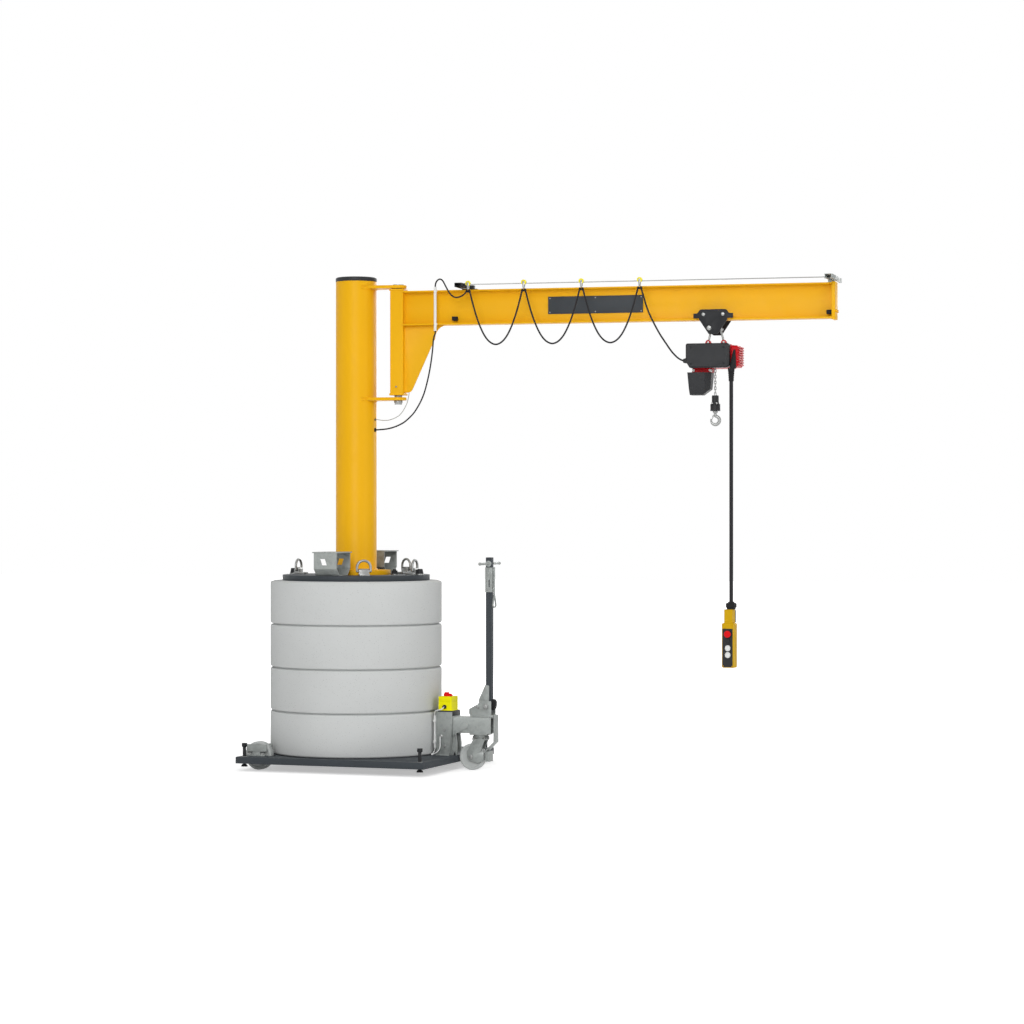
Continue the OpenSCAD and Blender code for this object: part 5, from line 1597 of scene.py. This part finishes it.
@dataclass
class Castor(Assembly):
    """The steered castor with its fork, brake shoe and wheel."""

    body: str = "steering"
    axle: Point = (0.673, 0.0, 0.070)
    kingpin_x: float = 0.718
    seal_z: float = 0.1765
    nuts: Point = (0.031, 0.029, 0.1670)
    fork_y: float = 0.030
    axle_head_r: float = 0.0149

    def build(self) -> None:
        """Dresses fork and wheel, and adds bearings, the head's seal and its nuts."""
        x, _, z = self.axle
        self.dress("castor_fork", Paint.ZINC, edge=0.0009, tints=[(Paint.BRIGHT, self.on_axle)])
        self.dress("castor_wheel", Paint.NYLON, edge=0.0012)
        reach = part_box("castor_wheel")[1][1]
        bearing = ring_profile(0.0092, (0.0178, -0.001), (0.0178, 0.001), (0.0168, 0.002))
        faces = [((x, d * reach, z), (0, d, 0)) for d in (-1, 1)]
        self.rounds("castor_bearing", bearing, faces, Paint.BRIGHT, "castor")
        seal = [(0.0432, -0.0007), (0.0440, -0.0007), (0.0442, 0.0007), (0.0430, 0.0007)]
        middle = [((self.kingpin_x, 0, self.seal_z), (0, 0, 1))]
        self.rounds("castor_head_seal", seal, middle, Paint.BLACK_RUBBER)
        nx, ny, nz = self.nuts
        studs = [
            ((self.kingpin_x + a * nx, b * ny, nz), (0, 0, 1)) for a in (-1, 1) for b in (-1, 1)
        ]
        self.bolts("castor_head_nuts", flats=0.010, height=0.005, places=studs, washer=0.001)

    def on_axle(self, p: Vector) -> bool:
        """Tells whether a point is on a head of the wheel's axle."""
        near = math.hypot(p.x - self.axle[0], p.z - self.axle[2]) < self.axle_head_r
        return near and abs(p.y) > self.fork_y + 0.0006


@dataclass
class Drawbar(Assembly):
    """The steering yoke and the drawbar with its handle."""

    body: str = "drawbar_arm"
    tilt: Flat = (0.759, 0.339)
    tube_x: float = 0.767
    tube_half: float = 0.0165
    sleeve: Flat = (0.942, 1.073)
    top: float = 1.124
    handle_z: float = 1.093
    handle_half: float = 0.155
    yoke_bolt: Flat = (0.0363, 0.3)
    foot_half: float = 0.0166
    foot_top: float = 0.4505
    pin_r: float = 0.0085
    pin_half: float = 0.0395
    stop: Flat = (0.7836, 0.0155)
    stop_z: Flat = (0.317, 0.379)
    screw_from_end: Flat = (0.014, 0.068)

    def build(self) -> None:
        """Dresses yoke, tube and handle, and adds plug, screws, collars and beads."""
        half, low = self.yoke_bolt
        bolts = [(Paint.BRIGHT, lambda p: abs(p.y) > half and p.z > low)]
        self.dress("drawbar_yoke", Paint.ZINC, edge=0.001, tints=bolts)
        tints = [
            (Paint.ZINC, self.on_foot),
            (Paint.BRIGHT, lambda p: abs(p.y) > self.pin_half),
            (Paint.BLACK_RUBBER, self.on_stop),
        ]
        self.dress("drawbar", Paint.ANTHRACITE, edge=0.0011, tints=tints)
        self.dress("drawbar_handle", Paint.ZINC, edge=0.0011)
        self.plug()
        self.fittings()

    def on_foot(self, p: Vector) -> bool:
        """Tells whether a point is on the tube's foot plates or on the tilt bolt's end.

        Args:
            p: The point.

        Returns:
            Whether it is.
        """
        x, z = self.tilt
        plates = abs(p.y) > self.foot_half and p.z < self.foot_top
        return plates or math.hypot(p.x - x, p.z - z) < self.pin_r

    def on_stop(self, p: Vector) -> bool:
        """Tells whether a point is on the rounded stop in front of the tube's foot.

        Args:
            p: The point.

        Returns:
            Whether it is.
        """
        x, half = self.stop
        low, high = self.stop_z
        return p.x > x and abs(p.y) < half and low < p.z < high

    def plug(self) -> None:
        """Adds the plastic plug that closes the tube."""
        x, top, half = self.tube_x, self.top, self.tube_half - 0.0006
        low, high = (x - half, -half, top - 0.002), (x + half, half, top + 0.002)
        plug = self.bench.block("drawbar_plug", low, high)
        self.add(self.bench.bevelled(plug, width=0.0014, segments=3), Paint.BLACK_PLASTIC)

    def fittings(self) -> None:
        """Adds the sleeve's screws, the handle's collars and the tube's weld beads."""
        x, half = self.tube_x, self.tube_half + 0.003
        low, high = self.sleeve
        up, down = self.screw_from_end
        screws = [
            ((x - 0.008, d * half, z), (0, d, 0)) for d in (-1, 1) for z in (low + up, high - down)
        ]
        self.bolts("sleeve_screws", flats=0.008, height=0.0035, places=screws, washer=0.001)
        collar = ring_profile(
            0.0062, (0.0077, 0.0), (0.0082, 0.001), (0.0082, 0.004), (0.0075, 0.005)
        )
        end = self.handle_half - 0.012
        ends = [((x, d * end, self.handle_z), (0, d, 0)) for d in (-1, 1)]
        self.rounds("handle_end_rings", collar, ends, Paint.BRIGHT)
        side, z = self.tube_half + 0.0005, self.foot_top
        edge = [
            line_route((x - 0.018, d * side, z), (x + 0.002, d * side, z), 0.003) for d in (-1, 1)
        ]
        self.beads("drawbar_foot_weld", edge, width=0.0045, paint=Paint.ANTHRACITE)


@dataclass
class Jib(Assembly):
    """The slewing post and beam, in the jib's own frame."""

    body: str = "jib"
    post_half: float = 0.0365
    post_low: float = 1.990
    beam_z: Flat = (2.361, 2.545)
    beam_half: float = 0.0455
    flange: float = 0.008
    web: float = 0.0053
    gusset_half: float = 0.005
    panel_r: Flat = (0.827, 1.339)
    rivet_in: Flat = (0.010, 0.009)
    tip_r: float = 2.336

    @property
    def place(self) -> Matrix:
        """Carries the jib's frame to the crane's."""
        return self.jib.matrix

    def build(self) -> None:
        """Dresses post, beam and their fittings, and adds beads, rivets and a nipple."""
        for node, paint, edge in (
            ("jib_post", Paint.YELLOW, 0.0022),
            ("jib_beam", Paint.YELLOW, 0.0011),
            ("beam_end_plates", Paint.YELLOW, 0.0012),
            ("pivot_pins", Paint.BRIGHT, 0.0009),
            ("beam_panel", Paint.ANTHRACITE, 0.0004),
            ("beam_stops", Paint.BLACK_RUBBER, 0.002),
            ("jib_conduit", Paint.WHITE_PLASTIC, 0.0006),
        ):
            self.dress(node, paint, edge)
        self.welds()
        self.rivets()
        self.nipple()

    def seams(self, r: float, q: float, low: float, high: float) -> list[list[Point]]:
        """Returns two upright seams, one on each side of the beam's middle."""
        return [line_route((r, d * q, low), (r, d * q, high)) for d in (-1, 1)]

    def welds(self) -> None:
        """Adds the beads between post, gusset, beam and end plates."""
        low, high = self.beam_z
        post = self.post_half
        gusset = self.seams(post, self.gusset_half + 0.001, self.post_low + 0.03, low)
        self.beads("gusset_weld", gusset, width=0.006, paint=Paint.YELLOW)
        face, wide = post + 0.0005, self.beam_half * 0.8
        root = [
            line_route((face, wide, z), (face, -wide, z)) for z in (low - 0.0004, high + 0.0004)
        ]
        web = (self.web / 2 + 0.002, low + self.flange + 0.004, high - self.flange - 0.004)
        self.beads("beam_root_weld", root + self.seams(face, *web), width=0.006, paint=Paint.YELLOW)
        tip = self.seams(self.tip_r - 0.001, *web)
        self.beads("beam_tip_weld", tip, width=0.005, paint=Paint.YELLOW)

    def rivets(self) -> None:
        """Adds the bare panel's rivets."""
        low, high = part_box("beam_panel")
        q = min(corner.y for corner in self.corners("beam_panel"))
        r0, r1 = self.panel_r
        dr, dz = self.rivet_in
        spots = [
            ((r, q, z), (0, -1, 0))
            for r in (r0 + dr, (r0 + r1) / 2, r1 - dr)
            for z in (low[2] + dz, high[2] - dz)
        ]
        head = [(0.0, 0.0), (0.0036, 0.0), (0.0036, 0.0004), (0.0026, 0.0012), (0.0, 0.0016)]
        self.rounds("panel_rivets", head, spots, Paint.BRIGHT, steps=20)

    def nipple(self) -> None:
        """Adds the grease nipple on the slewing post."""
        hexagon = ((0.0045, 0.0), (0.0045, 0.004), (0.0028, 0.0055), (0.0028, 0.0085))
        ball = ((0.0036, 0.0095), (0.0036, 0.0115), (0.0018, 0.0135))
        spot = [((0.0, -self.post_half, self.post_low + 0.045), (0, -1, 0))]
        profile = ring_profile(0.0, *hexagon, *ball)
        self.rounds("grease_nipple", profile, spot, Paint.BRIGHT, steps=20)


@dataclass
class CableLine(Jib):
    """The wire beside the beam with its arms, and the cars that run on it."""

    near_r: float = 0.47
    arm_z: float = 2.5485
    pad: Flat = (-0.045, 2.5495)
    wire_half: float = 0.0075
    wire_z: Flat = (2.5585, 2.5715)
    wire_r: Flat = (0.41, 2.312)
    cheek_half: float = 0.00705
    roller_low: float = 2.5565
    pin: Flat = (0.0089, 2.571)
    band: Flat = (0.007, 2.528)
    near_bolts: tuple[Point, ...] = ((0.3775, -0.024, 2.571), (0.3775, 0.020, 2.571))
    far_bolts: tuple[Point, ...] = ((2.336, -0.030, 2.580), (2.336, 0.030, 2.580))

    def build(self) -> None:
        """Dresses the line and the cars, and adds the arms' bolts and the cars' details."""
        pad_q, pad_z = self.pad
        tints = [
            (Paint.BLACK_METAL, lambda p: p.x < self.near_r and p.z > self.arm_z),
            (Paint.YELLOW, lambda p: p.x < self.near_r and p.z < pad_z and p.y > pad_q),
            (Paint.BRIGHT, self.on_wire),
        ]
        self.dress("cable_line", Paint.ZINC, edge=0.0006, tints=tints)
        cheeks = [(Paint.BRIGHT, self.on_cheek)]
        for i in range(4):
            node = f"cable_car_{i + 1}"
            self.dress(node, Paint.ROLLER_YELLOW, edge=0.0005, tints=cheeks)
            self.car_details(i)
        bolts = [(place, (0, 0, 1)) for place in self.near_bolts + self.far_bolts]
        self.bolts("line_arm_bolts", flats=0.013, height=0.007, places=bolts, washer=0.0015)

    def on_wire(self, p: Vector) -> bool:
        """Tells whether a point is on the wire.

        Args:
            p: The point.

        Returns:
            Whether it is.
        """
        (low, high), (near, far) = self.wire_z, self.wire_r
        return abs(p.y - LINE_Q) < self.wire_half and low < p.z < high and near < p.x < far

    def on_cheek(self, p: Vector) -> bool:
        """Tells whether a point is on a car's cheeks or under its roller."""
        return abs(p.y - LINE_Q) > self.cheek_half or p.z < self.roller_low

    def car_details(self, i: int) -> None:
        """Adds a car's roller pins and the bands that hold the cables under it.

        Args:
            i: The car's number, from 0.
        """
        r, body = CAR_R[i], f"car_{i + 1}"
        out, z = self.pin
        pin = ring_profile(0.0, (0.0046, 0.0), (0.0046, 0.0012), (0.0036, 0.0022))
        ends = [((r, LINE_Q + d * out, z), (0, d, 0)) for d in (-1, 1)]
        self.rounds(f"car_pin_{i + 1}", pin, ends, Paint.BRIGHT, body, steps=20)
        out, z = self.band
        band = ring_profile(0.0048, (0.0074, -0.005), (0.0078, 0.0), (0.0074, 0.005))
        spots = [((r + d * out, LINE_Q, z), (0, 0, 1)) for d in (-1, 1)]
        self.rounds(f"car_band_{i + 1}", band, spots, Paint.BLACK_RUBBER, body, steps=20)


@dataclass
class Trolley(Assembly):
    """The trolley on the beam's lower flange, in the trolley's own frame."""

    body: str = "trolley"
    plate_q: Flat = (0.0545, 0.0625)
    wheel_x: float = 0.051
    wheel_z: float = 2.3903
    spindles: tuple[Flat, ...] = ((-0.021, 2.319), (0.027, 2.319))
    spindle_r: float = 0.0145
    rod_top: float = 2.31
    lug_z: Flat = (2.238, 2.2565)
    lug_q: float = 0.0500

    @property
    def place(self) -> Matrix:
        """Carries the trolley's frame to the crane's."""
        return self.jib.matrix @ Matrix.Translation((self.jib.trolley_r, 0.0, 0.0))

    def build(self) -> None:
        """Dresses frame and wheels, and adds the axles' washers."""
        out = self.plate_q[1] + 0.0001
        low, high = self.lug_z
        tints = [
            (Paint.BRIGHT, self.bright),
            (Paint.RED_PAINT, lambda p: low < p.z < high and abs(p.y) > self.lug_q),
        ]
        self.dress("trolley_frame", Paint.BLACK_METAL, edge=0.0009, tints=tints)
        self.dress("trolley_wheels", Paint.BRIGHT, edge=0.0006)
        washer = ring_profile(0.0, (0.0088, 0.0), (0.0088, 0.0010), (0.0078, 0.0018))
        spots = [
            ((d * self.wheel_x, s * out, self.wheel_z), (0, s, 0)) for d in (-1, 1) for s in (-1, 1)
        ]
        self.rounds("wheel_axle_washers", washer, spots, Paint.BRIGHT)

    def bright(self, p: Vector) -> bool:
        """Tells whether a point of the frame is on a bolt, a spindle or a rod.

        Args:
            p: The point.

        Returns:
            Whether it is.
        """
        inside = abs(p.y) < self.plate_q[0] - 0.0005
        outside = abs(p.y) > self.plate_q[1] + 0.0006
        spindle = any(math.hypot(p.x - x, p.z - z) < self.spindle_r for x, z in self.spindles)
        return outside or (inside and (spindle or p.z < self.rod_top))


@dataclass
class Hoist(Trolley):
    """The chain hoist that hangs from the trolley."""

    cover_q: float = -0.096
    cover_x: Flat = (-0.140, 0.090)
    cover_z: Flat = (2.112, 2.240)
    body_x: Flat = (-0.122, 0.127)
    body_z: Flat = (2.113, 2.235)
    back_q: float = 0.107
    under_z: float = 2.1125
    under_bolts: tuple[Flat, ...] = ((-0.110, 0.026), (-0.022, 0.026))
    under_half: Flat = (0.0085, 0.009)
    cover_screw_in: Flat = (0.030, 0.022)
    bell_screw_out: Flat = (0.085, 0.040)
    lead_exit: Flat = (-0.078, 2.150)

    def build(self) -> None:
        """Dresses housing, cover and container, and adds screws and the lead's gland."""
        self.dress("hoist_housing", Paint.RED_PAINT, tints=[(Paint.BRIGHT, self.on_under_bolt)])
        self.dress("hoist_cover", Paint.BLACK_PLASTIC)
        self.dress("chain_container", Paint.BLACK_PLASTIC)
        self.cover_details()
        self.bell_screws()

    def on_under_bolt(self, p: Vector) -> bool:
        """Tells whether a point is on a bolt's head under the housing.

        Args:
            p: The point.

        Returns:
            Whether it is.
        """
        dx, dq = self.under_half
        return p.z < self.under_z and any(
            abs(p.x - x) < dx and abs(abs(p.y) - q) < dq for x, q in self.under_bolts
        )

    def cover_details(self) -> None:
        """Adds the cover's screws and the gland of the lead."""
        (x0, x1), (z0, z1) = self.cover_x, self.cover_z
        dx, dz = self.cover_screw_in
        head = SocketHead(0.0056, 0.0006, (0.0046, 0.0016), 0.0024, (0.0020, 0.0004))
        places = [
            ((x, self.cover_q, z), (0, -1, 0))
            for x in (x0 + dx, x1 - dx)
            for z in (z0 + dz, z1 - dz)
        ]
        self.rounds("cover_screws", head.profile, places, Paint.BLACK_METAL, steps=24)
        nut = ((0.0135, -0.004), (0.0135, 0.004), (0.0120, 0.005), (0.0120, 0.010))
        gland = ring_profile(0.0047, *nut, (0.0092, 0.014))
        spot = [((x0, *self.lead_exit), (-1, 0, 0))]
        self.rounds("lead_gland", gland, spot, Paint.BLACK_PLASTIC, steps=28)

    def bell_screws(self) -> None:
        """Adds the screws of the bell at the back."""
        mid_x, mid_z = sum(self.body_x) / 2, sum(self.body_z) / 2
        dx, dz = self.bell_screw_out
        head = SocketHead(0.0050, 0.0030, (0.0042, 0.0040), 0.0026, (0.0022, 0.0018))
        places = [
            ((mid_x + a * dx, self.back_q, mid_z + b * dz), (0, 1, 0))
            for a in (-1, 1)
            for b in (-1, 1)
        ]
        self.rounds("bell_screws", head.profile, places, Paint.BLACK_METAL, steps=24)


@dataclass
class Hook(Trolley):
    """The bottom block with its swivelling hook and latch."""

    block_z: Flat = (1.891, 1.972)
    store_z: Flat = (2.205, 2.120)
    pitch: float = 0.015
    wire: float = 0.004
    loop: Flat = (0.0044, 0.0051)
    link_straight: float = 0.0044

    def build(self) -> None:
        """Dresses chain, block, hook and latch, and adds the stored chain and screws."""
        chain = self.bench.copy_node("load_chain", "load_chain_dressed")
        self.bench.dressed(chain, "hook_block", Paint.BRIGHT, ["load_chain"], "bright_steel")
        self.stored_chain()
        self.dress("hook_block", Paint.BLACK_PLASTIC)
        self.dress("hook", Paint.BRIGHT)
        self.dress("hook_latch", Paint.BRIGHT, edge=0.0004)
        across = self.corners("hook_block")
        q = min(p.y for p in across)
        x = sum(p.x for p in across) / len(across)
        z = (self.block_z[0] + self.block_z[1]) / 2
        head = SocketHead(0.0046, 0.0008, (0.0038, 0.0016), 0.0022, (0.0018, 0.0004))
        spots = [((x + d * 0.012, q + 0.0008, z), (0, -1, 0)) for d in (-1, 1)]
        self.rounds("block_screws", head.profile, spots, Paint.BRIGHT, "hook_block", steps=20)

    def stored_chain(self) -> None:
        """Adds the links that lie folded in the hoist and run out as the hook is lowered."""
        joints = self.bench.frame["record"]["behaviour"]["joints"]
        travel = next(j for j in joints if j["name"] == "hook_lift")["range_m"][1]
        half_w, half_h = self.loop
        oval = []
        for a in (math.radians(30 * i) for i in range(13)):
            straight = math.copysign(self.link_straight, math.sin(a))
            oval.append((half_w * math.cos(a), 0.0, half_h * math.sin(a) + straight))
        link = self.bench.tube("chain_store", oval, self.wire, sides=1)
        count = int(travel / self.pitch)
        spots = [
            standing((0, 0, (i + 0.5) * self.pitch), roll=90.0 * (i % 2)) for i in range(count)
        ]
        strand = self.bench.strewn("chain_store", link, spots)
        top, low = self.store_z
        for vertex in strand.data.vertices:
            share = min(1.0, max(0.0, 1 - vertex.co.z / travel))
            vertex.co.z = top + (low - top) * self.folded(share)
        self.bench.moved(strand, self.place)
        self.bench.dressed(strand, None, Paint.BRIGHT, (), "bright_steel", 60.0)
        ends = [tuple(self.place @ Vector((0, 0, z))) for z in self.store_z]
        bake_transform(strand)

    def folded(self, share: float) -> float:
        """Returns where a link lies in the store, so that the links run out evenly.

        Args:
            share: How far down the strand the link is when it has all run out.

        Returns:
            Its place in the store, from 0 at the top to 1 at the hoist's underside.
        """
        return 0.5 - math.sin(math.asin(1 - 2 * share) / 3)


@dataclass
class Pendant(Trolley):
    """The pushbutton pendant on its flex."""

    turn: float = -11.0
    box_x: float = -0.010
    box_half: Flat = (0.0325, 0.027)
    box_z: Flat = (0.562, 0.793)
    seam_z: float = 0.764
    collar_z: float = 0.863
    button_levels: tuple[float, ...] = (0.736, 0.701, 0.664, 0.629)
    stop_low: float = 0.7175
    white_top: float = 0.683
    cap_x: float = -0.007
    cap_r: float = 0.0118
    cap_front: float = -0.030
    clip: Flat = (0.0235, 0.7945)
    insert_half: float = 0.0205
    screw_x: float = 0.021
    screw_from_end: Flat = (0.022, 0.048)

    @property
    def place(self) -> Matrix:
        """Carries the pendant's frame to the crane's."""
        x, q = PENDANT_HANG
        return (
            self.jib.matrix
            @ Matrix.Translation((self.jib.trolley_r + x, q, 0.0))
            @ Matrix.Rotation(math.radians(self.turn), 4, "Z")
        )

    def build(self) -> None:
        """Dresses box and buttons, and adds the case's screws."""
        case = [
            (Paint.BLACK_RUBBER, lambda p: p.z > self.collar_z - 0.0004),
            (Paint.BLACK_PLASTIC, self.dark),
        ]
        self.dress("pendant_box", Paint.PENDANT_YELLOW, tints=case)
        caps = [
            (Paint.RED_PLASTIC, lambda p: p.z > self.stop_low),
            (Paint.WHITE_PLASTIC, lambda p: p.z < self.white_top and self.on_cap(p)),
        ]
        self.dress("pendant_buttons", Paint.BLACK_PLASTIC, edge=0.0005, tints=caps)
        self.screws()

    def dark(self, p: Vector) -> bool:
        """Tells whether a point is on the front insert or on the clip behind the neck.

        Args:
            p: The point.

        Returns:
            Whether it is.
        """
        clip = p.y > self.clip[0] and p.z > self.clip[1]
        front = p.y < -self.box_half[1] + 0.0002 and p.z < self.seam_z
        return clip or (front and abs(p.x - self.box_x) < self.insert_half)

    def on_cap(self, p: Vector) -> bool:
        """Tells whether a point is on the pushed cap inside a button's ring."""
        level = min(self.button_levels, key=lambda z: abs(z - p.z))
        return math.hypot(p.x - self.cap_x, p.z - level) < self.cap_r and p.y < self.cap_front

    def screws(self) -> None:
        """Adds the screws at the case's back."""
        head = SocketHead(0.0038, 0.0004, (0.0032, 0.0010), 0.0018, (0.0014, 0.0002))
        low, high = self.box_z
        up, down = self.screw_from_end
        back = [
            ((self.box_x + a * self.screw_x, self.box_half[1], z), (0, 1, 0))
            for a in (-1, 1)
            for z in (low + up, high - down)
        ]
        self.rounds("pendant_screws", head.profile, back, Paint.BRIGHT, steps=20)


def main() -> None:
    """Builds the studio and the crane."""
    logging.basicConfig(level=logging.INFO, format="%(name)s %(message)s")
    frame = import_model()
    Studio().build()
    bench = Bench(frame)
    jib = JibFrame(frame["joints"])
    Cords(bench, jib).build()
    for part in (
        BasePlate,
        Ballast,
        LiftingGear,
        Column,
        SteeringPost,
        Castor,
        Drawbar,
        Jib,
        CableLine,
        Trolley,
        Hoist,
        Hook,
        Pendant,
    ):
        part(bench, jib).build()
    bpy.context.scene.view_settings.view_transform = "Standard"


if __name__ == "__main__":
    main()
